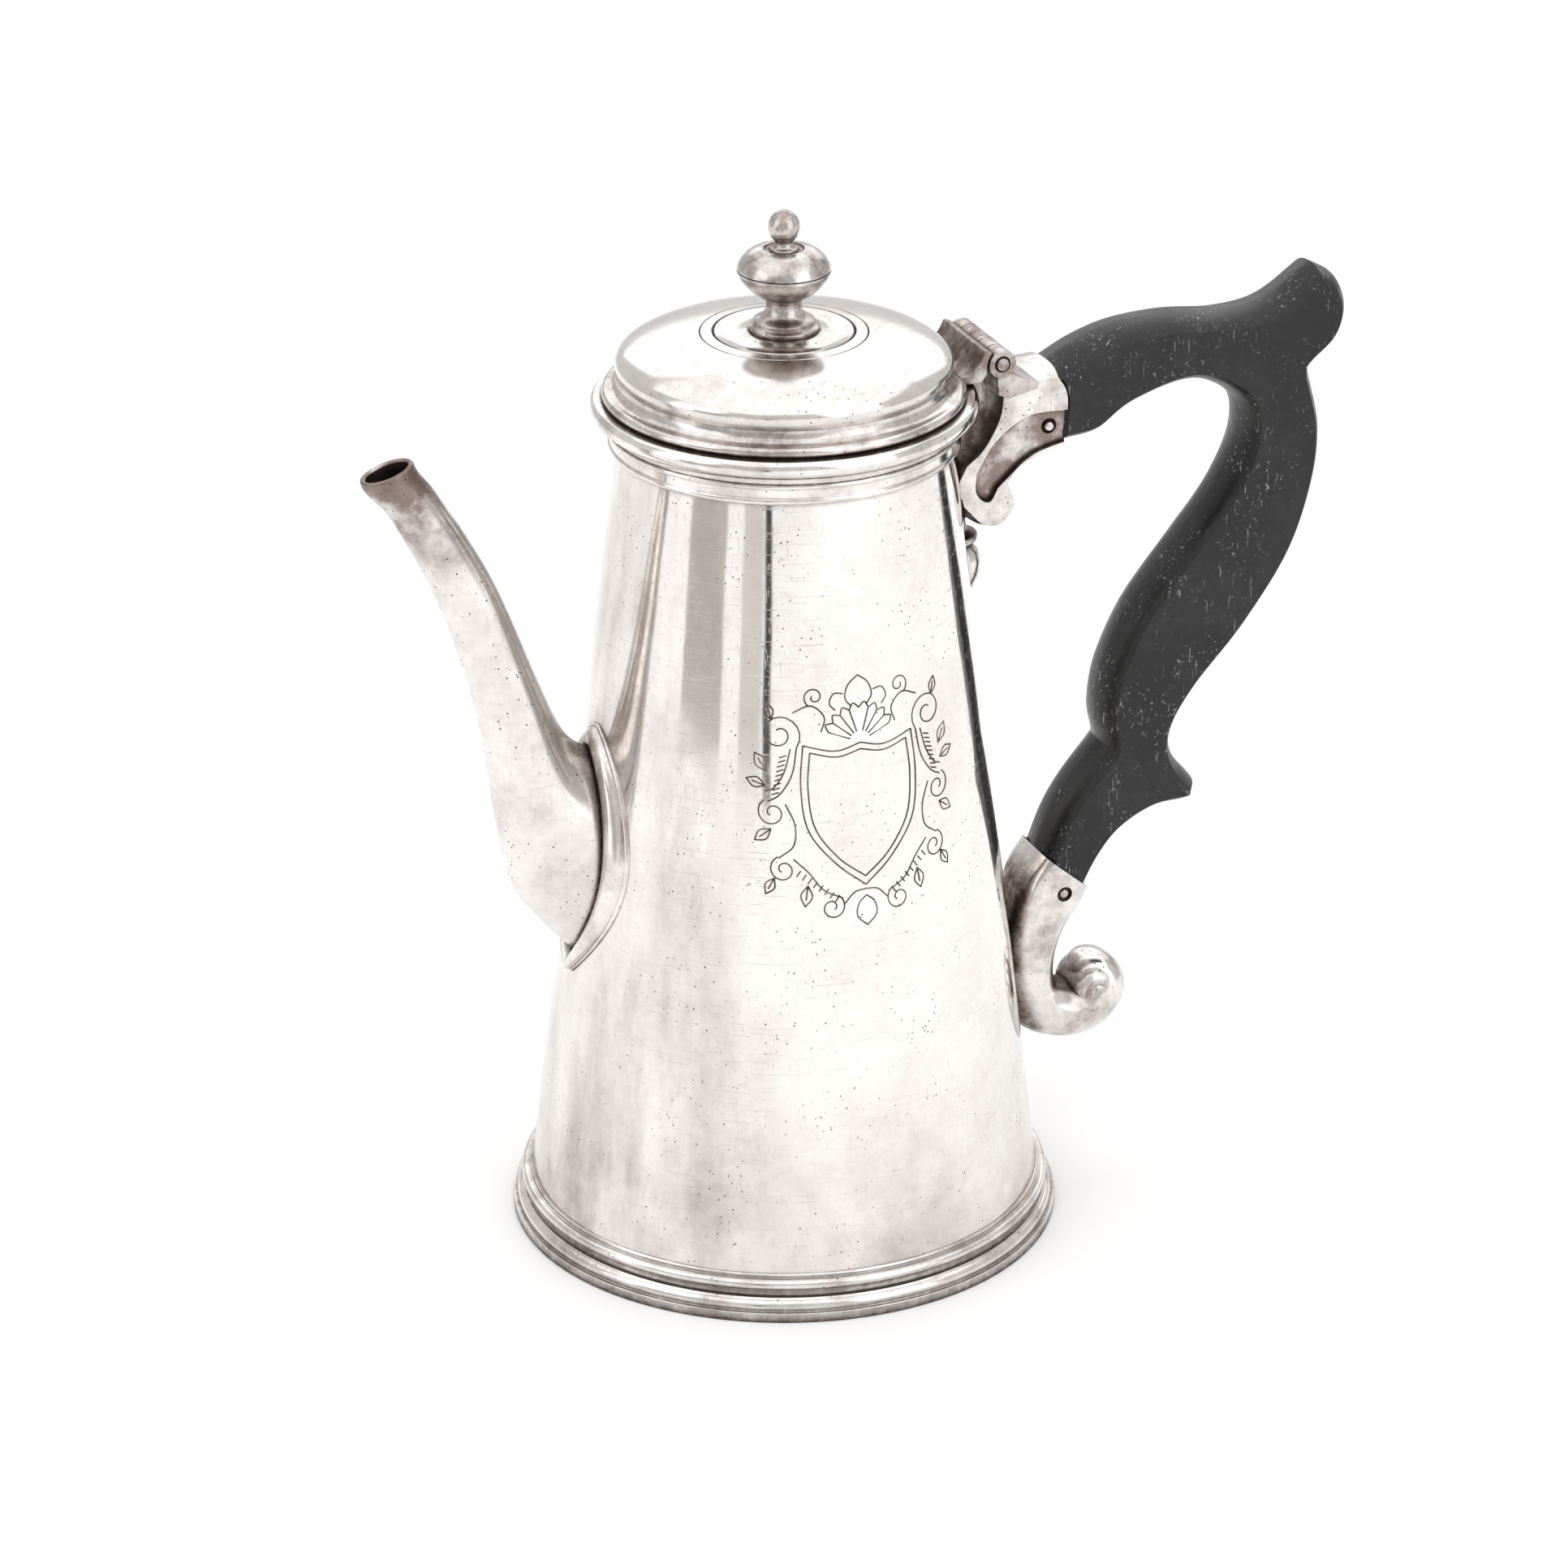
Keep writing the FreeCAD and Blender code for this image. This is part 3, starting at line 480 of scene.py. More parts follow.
def silver(name, film, grime_and_shade, pits, wear, polish, low_film=None, side_film=0.0, patch=24.0,
           haze=0.0, hollow=0.0, reach=2.0):
    """Old hand-raised sterling: bright where cloths reach, a warm film elsewhere.

    film is how much thin tarnish clouds it, grime_and_shade how dark its corners are, from sulphide
    and from painted shade, pits how many specks it has, wear how strongly fine cloth scratches show
    and polish how rough it is where it is clean. patch is the size of the clouds in millimetres,
    haze is film that lies everywhere and reach is how far from a corner its sulphide and painted
    shade spread, in millimetres. low_film gives the heights, in millimetres, between which more
    film sets in, and how much, and side_film how much more there is on the spout's side. hollow is
    the half width in millimetres of a casting whose sunk side panels hold more film.
    """
    look = bpy.context.scene.silver_look
    material, tree, place, shader = new_material(name)
    shown = patterns(tree, place, {
        # Films of tarnish gather in patches, broken up at 2 mm where a cloth dragged
        "patches": (patch, 5.0, 0.58, (0.36, 0.70, haze * film, film)),
        "broken": (2.4, 5.0, 0.75, (0.30, 0.70, 0.62, 1.0)),
        "uneven": (2.0, 5.0, 0.7, (0.25, 0.62, 0.35, 1.0)),
        "mottled": (3.0, 5.0, 0.7, (0.28, 0.66, 0.45, 1.0)),
        # Pits lie in groups about 13 mm apart
        "groups": (13.0, 5.0, 0.75, (0.44, 0.60)),
        # Cloth scratches: hairlines drawn out along two directions
        "lines": (10.0, 3.0, 0.55, (0.62, 0.70, 0.0, wear), (1.0, 1.0, 38.0), (0.5, 0.2, 0.3)),
        "crossed": (9.0, 3.0, 0.55, (0.63, 0.70, 0.0, wear), (34.0, 20.0, 1.4), (0.1, 0.35, 0.6)),
        # Raised by hammer and planished: shallow waves that only reflections show
        "waves": (26.0, 2.0, 0.4, None),
    })
    clouds = add(tree, "Math", (shown["patches"], shown["broken"]), operation="MULTIPLY")
    if low_film:
        start, full, most = low_film
        height = add(tree, "SeparateXYZ", (place,), "Z")
        low = add(tree, "MapRange", (height, start * MM, full * MM, 0.0, most),
                  interpolation_type="SMOOTHSTEP")
        ragged = patterns(tree, place, {"ragged": (18.0, 6.0, 0.62, (0.30, 0.78))})["ragged"]
        clouds = add(tree, "Math", (low, ragged, clouds), operation="MULTIPLY_ADD")
    if side_film:
        across = add(tree, "SeparateXYZ", (place,), "X")
        near = add(tree, "MapRange", (across, -12.0 * MM, -42.0 * MM, 0.0, side_film),
                   interpolation_type="SMOOTHSTEP")
        streaks = patterns(tree, place, {
            "streaks": (11.0, 4.0, 0.6, (0.30, 0.74), (1, 1, 0.2))})["streaks"]
        clouds = add(tree, "Math", (near, streaks, clouds), operation="MULTIPLY_ADD")
    if hollow:
        worn_off = patterns(tree, place, {
            "worn_off": (6.0, 5.0, 0.7, (0.30, 0.62, 0.15, 0.70))})["worn_off"]
        # The panels face sideways and lie deeper than the casting's flat sides
        facing = add(tree, "NewGeometry", output="True Normal")
        for vector, low, high in ((place, (hollow - 0.5) * MM, (hollow - 1.0) * MM),
                                  (facing, 0.96, 0.995)):
            side = add(tree, "SeparateXYZ", (vector,), "Y")
            side = add(tree, "Math", (side,), operation="ABSOLUTE")
            side = add(tree, "MapRange", (side, low, high), interpolation_type="SMOOTHSTEP")
            worn_off = add(tree, "Math", (side, worn_off), operation="MULTIPLY")
        clouds = add(tree, "Math", (clouds, worn_off), operation="ADD")
    # Corners that no cloth reaches hold brown black sulphide; this darkening follows ambient occlusion
    # within 1 or 2 mm of the corner, so it is partly painted shade
    corners = add(tree, "AmbientOcclusion", {"Distance": reach * MM}, "AO", samples=8)
    deep = add(tree, "MapRange", (corners, 0.93, 0.42, 0.0, grime_and_shade), interpolation_type="SMOOTHSTEP")
    sulphide_and_shade = add(tree, "Math", (deep, shown["uneven"]), operation="MULTIPLY")
    # Behind the hinge and in the crooks of the castings a red brown film builds up, 10 mm wide; it
    # follows ambient occlusion, so there it is partly painted shade
    hidden = add(tree, "AmbientOcclusion", {"Distance": 13.0 * MM}, "AO", samples=8)
    sheltered_and_shaded = add(tree, "MapRange", (hidden, 0.80, 0.42, 0.0, min(1.0, grime_and_shade * 0.80)),
                    interpolation_type="SMOOTHSTEP")
    heavy = add(tree, "MapRange", (clouds, 0.95, 2.6), interpolation_type="SMOOTHSTEP")
    red_film_and_shade = add(tree, "Math", (sheltered_and_shaded, shown["mottled"]), operation="MULTIPLY")
    red_film_and_shade = add(tree, "Math", (red_film_and_shade, heavy), operation="MAXIMUM")
    # Firestain pits and knocks, about 0.3 mm across
    cells = add(tree, "TexVoronoi", {"Scale": scale(1.5), "Vector": place})
    pitted = add(tree, "MapRange", (cells, 0.17, 0.07, 0.0, pits), interpolation_type="SMOOTHSTEP")
    dots = add(tree, "Math", (pitted, shown["groups"]), operation="MULTIPLY")
    pits_sulphide_and_shade = add(tree, "Math", (sulphide_and_shade, dots), operation="MAXIMUM")
    scratched = add(tree, "Math", (shown["lines"], shown["crossed"]), operation="ADD")
    faint = add(tree, "Math", (scratched, 0.30), operation="MULTIPLY")
    # Painted shade: the red film and the crevice colour follow ambient occlusion in corners and crooks,
    # over the real tarnish, film and pits
    base = look.bright
    for share, shade in ((clouds, look.tarnish), (faint, look.tarnish), (red_film_and_shade, look.red_film_and_shade),
                         (pits_sulphide_and_shade, look.crevice)):
        base = add(tree, "Mix", {0: share, 6: base, 7: shade}, output=2, data_type="RGBA")
    rough = polish
    for cause, weight in ((clouds, 0.13), (scratched, 0.10), (pits_sulphide_and_shade, 0.35), (red_film_and_shade, 0.22)):
        rough = add(tree, "Math", (cause, weight, rough), operation="MULTIPLY_ADD")
    bump = add(tree, "Bump", {"Strength": 0.35, "Distance": 0.6 * MM, "Height": shown["waves"]})
    sunk = add(tree, "Math", (scratched, 0.25, dots), operation="MULTIPLY_ADD")
    bump = add(tree, "Bump", {"Strength": 0.35, "Distance": 0.05 * MM, "Height": sunk,
                              "Normal": bump}, invert=True)
    shader.inputs["Metallic"].default_value = 1.0
    for socket, source in (("Base Color", base), ("Roughness", rough), ("Normal", bump)):
        tree.links.new(source, shader.inputs[socket])
    return material


def ebonised_wood(name):
    """Fruitwood stained black and waxed: a satin skin with pores, rubbed edges and pale scuffs."""
    look = bpy.context.scene.wood_look
    material, tree, place, shader = new_material(name)
    shown = patterns(tree, place, {
        # Grain runs along the handle's length, pores about 0.4 mm apart across it
        "grain": (3.0, 5.0, 0.65, None, (1.0, 8.0, 1.6), (0.0, 0.6, 0.0)),
        "pores": (0.9, 3.0, 0.6, (0.60, 0.72, 0.0, 0.8), (0.5, 2.0, 0.5), (0.0, 0.6, 0.0)),
        "rubbed": (16.0, 5.0, 0.65, (0.40, 0.66)),
        "specks": (0.9, 3.0, 0.7, (0.60, 0.70)),
        "where": (13.0, 5.0, 0.75, (0.44, 0.62)),
        "scratches": (9.0, 2.0, 0.5, (0.66, 0.71), (24.0, 10.0, 1.4), (0.2, 0.9, 0.4)),
        "smears": (5.0, 6.0, 0.8, (0.62, 0.80, 0.0, 0.21)),
    })
    marks = add(tree, "Math", (shown["specks"], shown["scratches"]), operation="MAXIMUM")
    marks = add(tree, "Math", (marks, shown["where"]), operation="MULTIPLY")
    pale = add(tree, "Math", (marks, 0.75), operation="MULTIPLY")
    pale = add(tree, "Math", (pale, shown["smears"]), operation="MAXIMUM")
    along = add(tree, "MapRange", (shown["grain"], 0.3, 0.7, 0.4, 1.0),
                interpolation_type="SMOOTHSTEP")
    greyed = add(tree, "Math", (shown["rubbed"], along), operation="MULTIPLY")
    base = look.stain
    for share, shade in ((greyed, look.worn), (pale, look.scuff)):
        base = add(tree, "Mix", {0: share, 6: base, 7: shade}, output=2, data_type="RGBA")
    rough = 0.28
    for cause, weight in ((shown["rubbed"], 0.14), (marks, 0.2)):
        rough = add(tree, "Math", (cause, weight, rough), operation="MULTIPLY_ADD")
    height = add(tree, "Math", (shown["grain"], 0.4), operation="MULTIPLY")
    height = add(tree, "Math", (height, shown["pores"]), operation="SUBTRACT")
    bump = add(tree, "Bump", {"Strength": 0.30, "Distance": 0.08 * MM, "Height": height})
    # Wax lies over the stain, a little less bright than bare varnish
    shader.inputs["IOR"].default_value = 1.42
    for socket, source in (("Base Color", base), ("Roughness", rough), ("Normal", bump)):
        tree.links.new(source, shader.inputs[socket])
    return material


def cut_line_silver(name):
    """Graver's cuts filled with old polish: dull grey lines with a glint where they are worn."""
    material, tree, place, shader = new_material(name)
    worn = patterns(tree, place, {"worn": (4.0, 4.0, 0.6, (0.35, 0.7))})["worn"]
    base = add(tree, "Mix", {0: worn, 6: colour("#35302D"), 7: colour("#7A736F")}, output=2,
               data_type="RGBA")
    shader.inputs["Metallic"].default_value = 0.7
    shader.inputs["Roughness"].default_value = 0.45
    tree.links.new(base, shader.inputs["Base Color"])
    return material


def plain_paper(name):
    """Seamless white backdrop paper, matt with a faint mottle."""
    material, tree, place, shader = new_material(name)
    mottle = patterns(tree, place, {"mottle": (60.0, 4.0, 0.5, (0.3, 0.7))})["mottle"]
    base = add(tree, "Mix", {0: mottle, 6: colour("#F6F6F5"), 7: colour("#F9F9F8")}, output=2,
               data_type="RGBA")
    tree.links.new(base, shader.inputs["Base Color"])
    shader.inputs["Roughness"].default_value = 0.9
    return material


# Operators, one for each piece or group of like pieces

class AddBody(bpy.types.Operator):
    """Make the tapered body wall, pierced behind the spout, and its base disc."""
    bl_idname = "coffee_pot.add_body"
    bl_label = "Body"

    def execute(self, context):
        body_radius, mouth_radius, mouth_height, foot_height = sizes()
        rim = box_edge("body_wall", Z, HIGH)
        floor = box_edge("body_wall", Z, LOW)
        made = turned("pot_body_wall", [
            (body_radius - SHEET, floor), (body_radius, floor), (body_radius, foot_height),
            (mouth_radius, mouth_height), (mouth_radius, rim), (mouth_radius - SHEET, rim),
            (mouth_radius - SHEET, mouth_height), (body_radius - SHEET, foot_height),
        ], closed=True, steps=FINE)
        take_out(made, self.strainer())
        finish(made, "pot", ["body_wall"],
               silver("polished_silver_body", 0.30, 0.9, 1.0, 0.8, 0.06, (60.0, 4.0, 0.42), 0.36,
                      haze=0.40))
        under = box_edge("base_disc", Z, LOW)
        over = box_edge("base_disc", Z, HIGH)
        base = turned("pot_base_disc", [
            (0, under), (body_radius - SHEET, under), (body_radius - SHEET, over), (0, over)])
        finish(base, "pot", ["base_disc"],
               silver("oxidised_silver_base", 1.0, 0.8, 1.0, 0.4, 0.3))
        return {"FINISHED"}

    def strainer(self):
        """Return the rods that pierce the diamond of holes behind the spout."""
        rows, pitch, radius = 7, 4.6, 1.1
        middle = (rows - 1) // 2
        centre = beside(0, 50.0)
        tool = None
        for row in range(rows):
            count = 1 + min(row, rows - 1 - row)
            for column in range(count):
                place = Vector((-centre.x, (column - (count - 1) / 2.0) * pitch,
                                centre.z + (row - middle) * pitch))
                settings = dict(vertices=20, radius=radius * MM, depth=9.0 * MM,
                                location=place * MM, rotation=(0, math.pi / 2, 0))
                if tool is None:
                    tool = begin("cylinder", "strainer_drill", **settings)
                else:
                    bpy.ops.mesh.primitive_cylinder_add(**settings)
        return tool


class AddFoot(bpy.types.Operator):
    """Make the moulded foot ring."""
    bl_idname = "coffee_pot.add_foot"
    bl_label = "Foot"

    def execute(self, context):
        body, _, _, top = sizes()
        edge = box_edge("foot_ring", X, HIGH)
        inside = body - 2.8
        floor = box_edge("base_disc", Z, LOW)
        made = turned("pot_foot_ring", [
            (inside, 0), (edge, 0), (edge, 2.2), (edge - 0.9, 2.2),
            (edge - 0.9, 2.7, (edge - 1.1, 3.8)), (edge - 2.0, 4.5),
            (edge - 2.3, 4.9, (edge - 3.3, 5.5)), (edge - 3.4, 6.5, (edge - 2.0, 7.5)),
            (edge - 3.4, top - 0.9), (body + 0.5, top - 0.8, (body + 0.5, top - 0.3)),
            (body - 0.3, top), (body - 0.3, floor), (inside, floor),
        ], closed=True, steps=FINE)
        finish(made, "pot", ["foot_ring"],
               silver("drawn_silver_foot", 0.75, 1.2, 1.4, 0.6, 0.12, patch=14.0, haze=0.25),
               soften=0.16)
        return {"FINISHED"}


class AddMouth(bpy.types.Operator):
    """Make the applied moulding around the mouth."""
    bl_idname = "coffee_pot.add_mouth"
    bl_label = "Mouth moulding"

    def execute(self, context):
        _, edge, low, _ = sizes()
        top = box_edge("mouth_moulding", Z, HIGH)
        made = turned("pot_mouth_moulding", [
            (edge - 0.3, low), (edge + 0.8, low, (edge + 1.5, low + 0.8)),
            (edge + 1.1, low + 1.5), (edge + 1.1, low + 3.5, (edge + 1.8, low + 4.1)),
            (edge + 1.3, low + 4.7, (edge + 1.9, low + 6.1)),
            (edge + 3.2, low + 6.9, (edge + MOUTH_ROLL, low + 8.6)), (edge + 4.2, top),
            (edge - 0.3, top),
        ], closed=True, steps=FINE)
        finish(made, "pot", ["mouth_moulding"],
               silver("drawn_silver_mouth", 0.60, 1.1, 0.9, 0.5, 0.09, patch=12.0, haze=0.25,
                      reach=1.1), soften=0.12)
        return {"FINISHED"}


class AddLid(bpy.types.Operator):
    """Make the lid's bezel with its flange, and the domed cover with its turned lines."""
    bl_idname = "coffee_pot.add_lid"
    bl_label = "Lid"

    def execute(self, context):
        _, edge, _, _ = sizes()
        floor = box_edge("mouth_moulding", Z, HIGH) + 0.12
        low = box_edge("lid_bezel", Z, LOW)
        seat = box_edge("lid_bezel", Z, HIGH)
        outside = edge - 1.7
        bezel = turned("lid_bezel_ring", [
            (outside - 1.0, low), (outside, low), (outside, floor),
            (edge + 2.2, floor, (edge + 2.6, floor + 0.8)),
            (edge + 1.3, floor + 2.1, (edge - 0.4, floor + 2.9)), (edge - 0.9, seat),
            (outside - 1.0, seat),
        ], closed=True, steps=FINE)
        finish(bezel, "lid", ["lid_bezel"],
               silver("turned_silver_flange", 0.95, 1.1, 1.0, 0.5, 0.12, patch=12.0, haze=0.45,
                      reach=1.1), soften=0.12)
        widest = seat + 2.4
        top = box_edge("lid_dome", Z, HIGH)
        rise = top - widest
        outline_points = [(edge - 1.5, seat), (edge - 0.9, seat), (edge - 0.45, seat + 1.2)]
        reach = edge - 0.2
        # The crown flattens faster than a sphere, with two turned lines and a dish inside them
        for step in range(25):
            radius = reach * math.cos(math.pi / 2 * step / 24.0) ** 0.75
            if radius < 18.6:
                break
            outline_points.append((radius, widest + rise * math.sqrt(1 - (radius / reach) ** 2.5)))
        for radius in (18.3, 18.0, 17.9, 17.7, 17.5, 17.4, 16.6, 15.6, 15.25, 14.9, 14.55, 14.4,
                       13.6, 12.4, 11.2, 10.0, 9.0, 8.0, 7.0, 3.0, 0.0):
            height = widest + rise * math.sqrt(1 - (max(radius, 8.0) / reach) ** 2.5)
            if radius < 14.5:
                height -= 0.75 * math.sin(math.pi * min(1.0, (14.5 - radius) / 7.0))
            if radius in (17.7, 14.9):
                height -= 0.30 if radius > 16 else 0.50
            outline_points.append((radius, height))
        under = [(max(radius - 0.7, 0.0), height - 0.9) for radius, height in outline_points[::-1][::3]]
        dome = turned("lid_domed_cover", outline_points + under[:-1] + [(edge - 1.9, seat + 0.4)],
                      closed=True, steps=FINE)
        finish(dome, "lid", ["lid_dome"],
               silver("polished_silver_lid", 0.55, 1.0, 1.0, 0.9, 0.12, haze=0.60))
        return {"FINISHED"}


class AddFinial(bpy.types.Operator):
    """Make the finial: stepped pedestal, knop in two halves and ball."""
    bl_idname = "coffee_pot.add_finial"
    bl_label = "Finial"

    def execute(self, context):
        floor = box_edge("finial_pedestal", Z, LOW)
        knop = box_edge("finial_knop_lower", X, HIGH)
        ball = box_edge("finial_ball", X, HIGH)
        metal = silver("cast_silver_finial", 1.15, 1.5, 1.3, 0.7, 0.14, patch=6.0, haze=0.50)
        made = turned("lid_finial_pedestal", [
            (0, floor - 0.4), (7.6, floor - 0.4), (7.6, floor + 0.8), (6.5, floor + 1.3),
            (6.5, floor + 2.1), (5.5, floor + 2.7, (3.8, floor + 5.0)), (4.3, floor + 7.0),
            (0, floor + 7.0)], steps=128)
        finish(made, "lid", ["finial_pedestal"], metal, soften=0.18)
        made = turned("lid_finial_knop_lower", [
            (0, floor + 7.0), (4.3, floor + 7.0, (knop - 2.2, floor + 9.4)),
            (knop - 0.15, floor + 12.3), (knop, floor + 12.9), (knop - 0.2, floor + 13.1),
            (0, floor + 13.1)], steps=128)
        finish(made, "lid", ["finial_knop_lower"], metal, soften=0.08)
        made = turned("lid_finial_knop_upper", [
            (0, floor + 13.1), (knop - 0.35, floor + 13.1),
            (knop, floor + 13.35, (knop - 1.2, floor + 15.6)), (4.9, floor + 17.7),
            (4.3, floor + 17.7), (4.0, floor + 17.3), (0, floor + 17.3)], steps=128)
        finish(made, "lid", ["finial_knop_upper"], metal, soften=0.08)
        made = turned("lid_finial_ball", [
            (0, floor + 17.3), (3.1, floor + 17.3), (2.9, floor + 17.8, (2.0, floor + 18.6)),
            (2.0, floor + 19.4, (ball, floor + 22.7)), (0, floor + 19.3 + 2 * ball)], steps=96)
        finish(made, "lid", ["finial_ball"], metal)
        return {"FINISHED"}


class AddHinge(bpy.types.Operator):
    """Make the hinge: knuckles, pin, the lid's curved leaf and the socket's bracket."""
    bl_idname = "coffee_pot.add_hinge"
    bl_label = "Hinge"

    def execute(self, context):
        metal = silver("cast_silver_hinge", 1.3, 1.5, 1.3, 1.0, 0.18, patch=6.0, haze=0.55)
        names = ["body_knuckle_1", "lid_knuckle_1", "body_knuckle_2", "lid_knuckle_2", "body_knuckle_3"]
        for node in names:
            low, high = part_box(node)
            radius = (high[Z] - low[Z]) / 2 / MM
            centre = near_hinge(0, 0)
            centre.y = (low[Y] + high[Y]) / 2 / MM
            made = rod("hinge_" + node, radius, (high[Y] - low[Y]) / MM, centre)
            owner = "lid" if node.startswith("lid") else "pot"
            bpy.ops.mesh.select_all(action="DESELECT")
            mesh = bmesh.from_edit_mesh(made.data)
            for face in mesh.faces:
                face.select = len(face.verts) > 4
            bmesh.update_edit_mesh(made.data)
            bpy.ops.mesh.inset(thickness=1.35 * MM, depth=0.0)
            bpy.ops.mesh.inset(thickness=0.15 * MM, depth=-0.35 * MM)
            finish(made, owner, [node], metal, soften=0.40, segments=3)
        low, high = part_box("hinge_pin")
        made = rod("hinge_pin_rod", (high[Z] - low[Z]) / 2 / MM, (high[Y] - low[Y]) / MM,
                   near_hinge(0, 0))
        finish(made, "pot", ["hinge_pin"],
               silver("worn_silver_pin", 1.3, 1.0, 1.5, 1.0, 0.30, patch=2.0,
                      haze=0.6), soften=0.3, segments=3)
        half = box_edge("lid_hinge_leaf", Y, HIGH)
        line = outline([
            places(near_hinge, (-4.0, 3.5), (-5.4, 0.9), (-7.4, -1.0), (-9.8, -1.7)),
            places(near_hinge, (-9.8, -1.7), (-9.8, -3.5)),
            places(near_hinge, (-9.8, -3.5), (-4.8, -3.5)),
            places(near_hinge, (-4.8, -3.5), (-3.6, -1.6)),
            places(near_hinge, (-3.6, -1.6), (-3.4, 0.9), (-2.4, 2.9)),
            places(near_hinge, (-2.4, 2.9), (-4.0, 3.5)),
        ], 0.6)
        made = slab("lid_hinge_leaf_plate", line, half)
        finish(made, "lid", ["lid_hinge_leaf"], metal, soften=0.25)
        corners = places(near_hinge, (-1.2, -2.9), (2.4, -2.0), (4.4, -3.6), (8.4, -4.9), (8.4, -6.6),
                         (1.6, -8.0), (-0.8, -7.0))
        line = outline(list(zip(corners, corners[1:] + corners[:1])))
        made = slab("pot_hinge_bracket", line, half - 0.2)
        finish(made, "pot", ["body_hinge_leaf"],
               silver("oxidised_silver_bracket", 1.2, 1.4, 1.7, 0.6, 0.2, patch=6.0, haze=0.6),
               soften=0.3)
        return {"FINISHED"}


SPOUT_STATIONS = [
    # (reach, level) of the outer edge and of the inner edge, half width, roundness
    (58.5, 102.4, 47.6, 104.5, 4.6, 2.0),
    (57.2, 101.1, 46.1, 103.0, 4.5, 2.0),
    (50.0, 96.2, 40.9, 99.3, 4.6, 2.0),
    (38.0, 83.9, 27.8, 88.0, 5.6, 2.0),
    (27.6, 68.7, 15.4, 73.6, 7.2, 1.9),
    (21.4, 55.0, 8.6, 66.2, 9.0, 1.7),
    (15.0, 44.4, 3.6, 63.4, 10.2, 1.4),
    (-2.5, 33.2, -3.0, 62.4, 10.6, 1.2),
]


def spout_ring(station, thinner, sides=72):
    """Return one ring of the spout, smaller by a thickness and seated on the body's wall."""
    outer_reach, outer_level, inner_reach, inner_level, half_width, roundness = station
    outer = beside(outer_reach, outer_level)
    inner = beside(inner_reach, inner_level)
    outer.x, inner.x = -outer.x, -inner.x
    centre = (outer + inner) / 2
    across = (outer - inner) / 2
    depth = across.length - thinner
    across.normalize()
    ring = []
    for side in range(sides):
        angle = 2 * math.pi * side / sides
        bulge = math.copysign(abs(math.sin(angle)) ** (2.0 / roundness), math.sin(angle))
        point = centre + across * depth * math.cos(angle)
        point.y = (half_width - thinner) * bulge
        limit = wall_radius(point.z) - 0.7
        reach = math.hypot(point.x, point.y)
        if reach < limit:
            point.x *= limit / reach
            point.y *= limit / reach
        ring.append(point)
    return ring


class AddSpout(bpy.types.Operator):
    """Make the curved spout with its rolled lip, and the stepped collar at its root."""
    bl_idname = "coffee_pot.add_spout"
    bl_label = "Spout"

    def execute(self, context):
        stations = curve_through(SPOUT_STATIONS, 71)
        rings = [spout_ring(station, 0.0) for station in stations[::-1]]
        # The lip is rolled over between the outside and the bore
        centre = sum(rings[-1], Vector()) / len(rings[-1])
        along = (centre - sum(rings[-3], Vector()) / len(rings[-3])).normalized()
        for share in (0.25, 0.5, 0.75, 1.0):
            angle = math.pi * share
            inwards = SHEET / 2 * (1 - math.cos(angle))
            ring = spout_ring(stations[0], inwards)
            rings.append([point + along * 0.5 * math.sin(angle) for point in ring])
        rings.extend(spout_ring(station, SHEET) for station in stations[1:])
        made = swept("pot_spout", rings, loop=True)
        finish(made, "pot", ["spout"],
               silver("polished_silver_spout", 0.50, 1.0, 1.6, 0.7, 0.11, (158.0, 178.0, 2.0),
                      patch=14.0, haze=0.45, reach=1.2))
        self.collar()
        return {"FINISHED"}

    def collar(self):
        """Make the lens-shaped collar: a broad rounded band over a thin step."""
        half = box_edge("spout_collar", Y, HIGH)
        # (share from the inner to the outer edge, height above the wall)
        section = [(0.0, 0.2), (0.0, 0.9), (0.16, 0.9), (0.20, 1.3), (0.27, 1.85), (0.36, 2.2),
                   (0.50, 2.4), (0.64, 2.3), (0.76, 1.95), (0.85, 1.35), (0.885, 0.75), (0.90, 0.55),
                   (0.93, 0.6), (0.98, 0.5), (1.0, 0.2), (1.0, -0.4), (0.5, -0.5)]
        sides = 144
        rings = []
        for number in range(sides):
            angle = 2 * math.pi * (number + 0.5) / sides
            ring = []
            for share, height in section:
                width = 9.0 + (half - 9.0) * share
                bottom = beside(0, 34.6 - 2.6 * share).z
                crown = beside(0, 61.8 + 4.0 * share).z
                middle, rise = (bottom + crown) / 2, (crown - bottom) / 2
                level = math.sin(angle)
                level = math.copysign(abs(level) ** 0.9, level)
                fullness = 0.70 if level > 0 else 1.0
                y = width * (1 - level * level) ** fullness * math.copysign(1.0, math.cos(angle))
                z = middle + rise * level
                radius = wall_radius(z) + height
                ring.append(Vector((-math.sqrt(radius * radius - y * y), y, z)))
            rings.append(ring)
        made = swept("pot_spout_collar", rings, loop=True)
        finish(made, "pot", ["spout_collar"],
               silver("chased_silver_collar", 0.60, 1.0, 1.0, 0.6, 0.10, patch=12.0, haze=0.3,
                      reach=1.0))


def upper_rivet():
    """Return the middle of the rivet through the upper socket."""
    return near_mouth(22.4, -2.6)


def lower_rivet():
    """Return the middle of the rivet through the lower socket."""
    return beside(14.4, 33.0)


def upper_joint():
    """Return the line where the wooden handle meets the upper socket, top to bottom."""
    return [near_mouth(24.4, 10.1), near_mouth(27.3, 4.0), near_mouth(26.6, -7.6)]


def lower_joint():
    """Return the line where the wooden handle meets the lower socket, inside to outside."""
    return [beside(11.4, 38.3), beside(20.9, 33.0)]


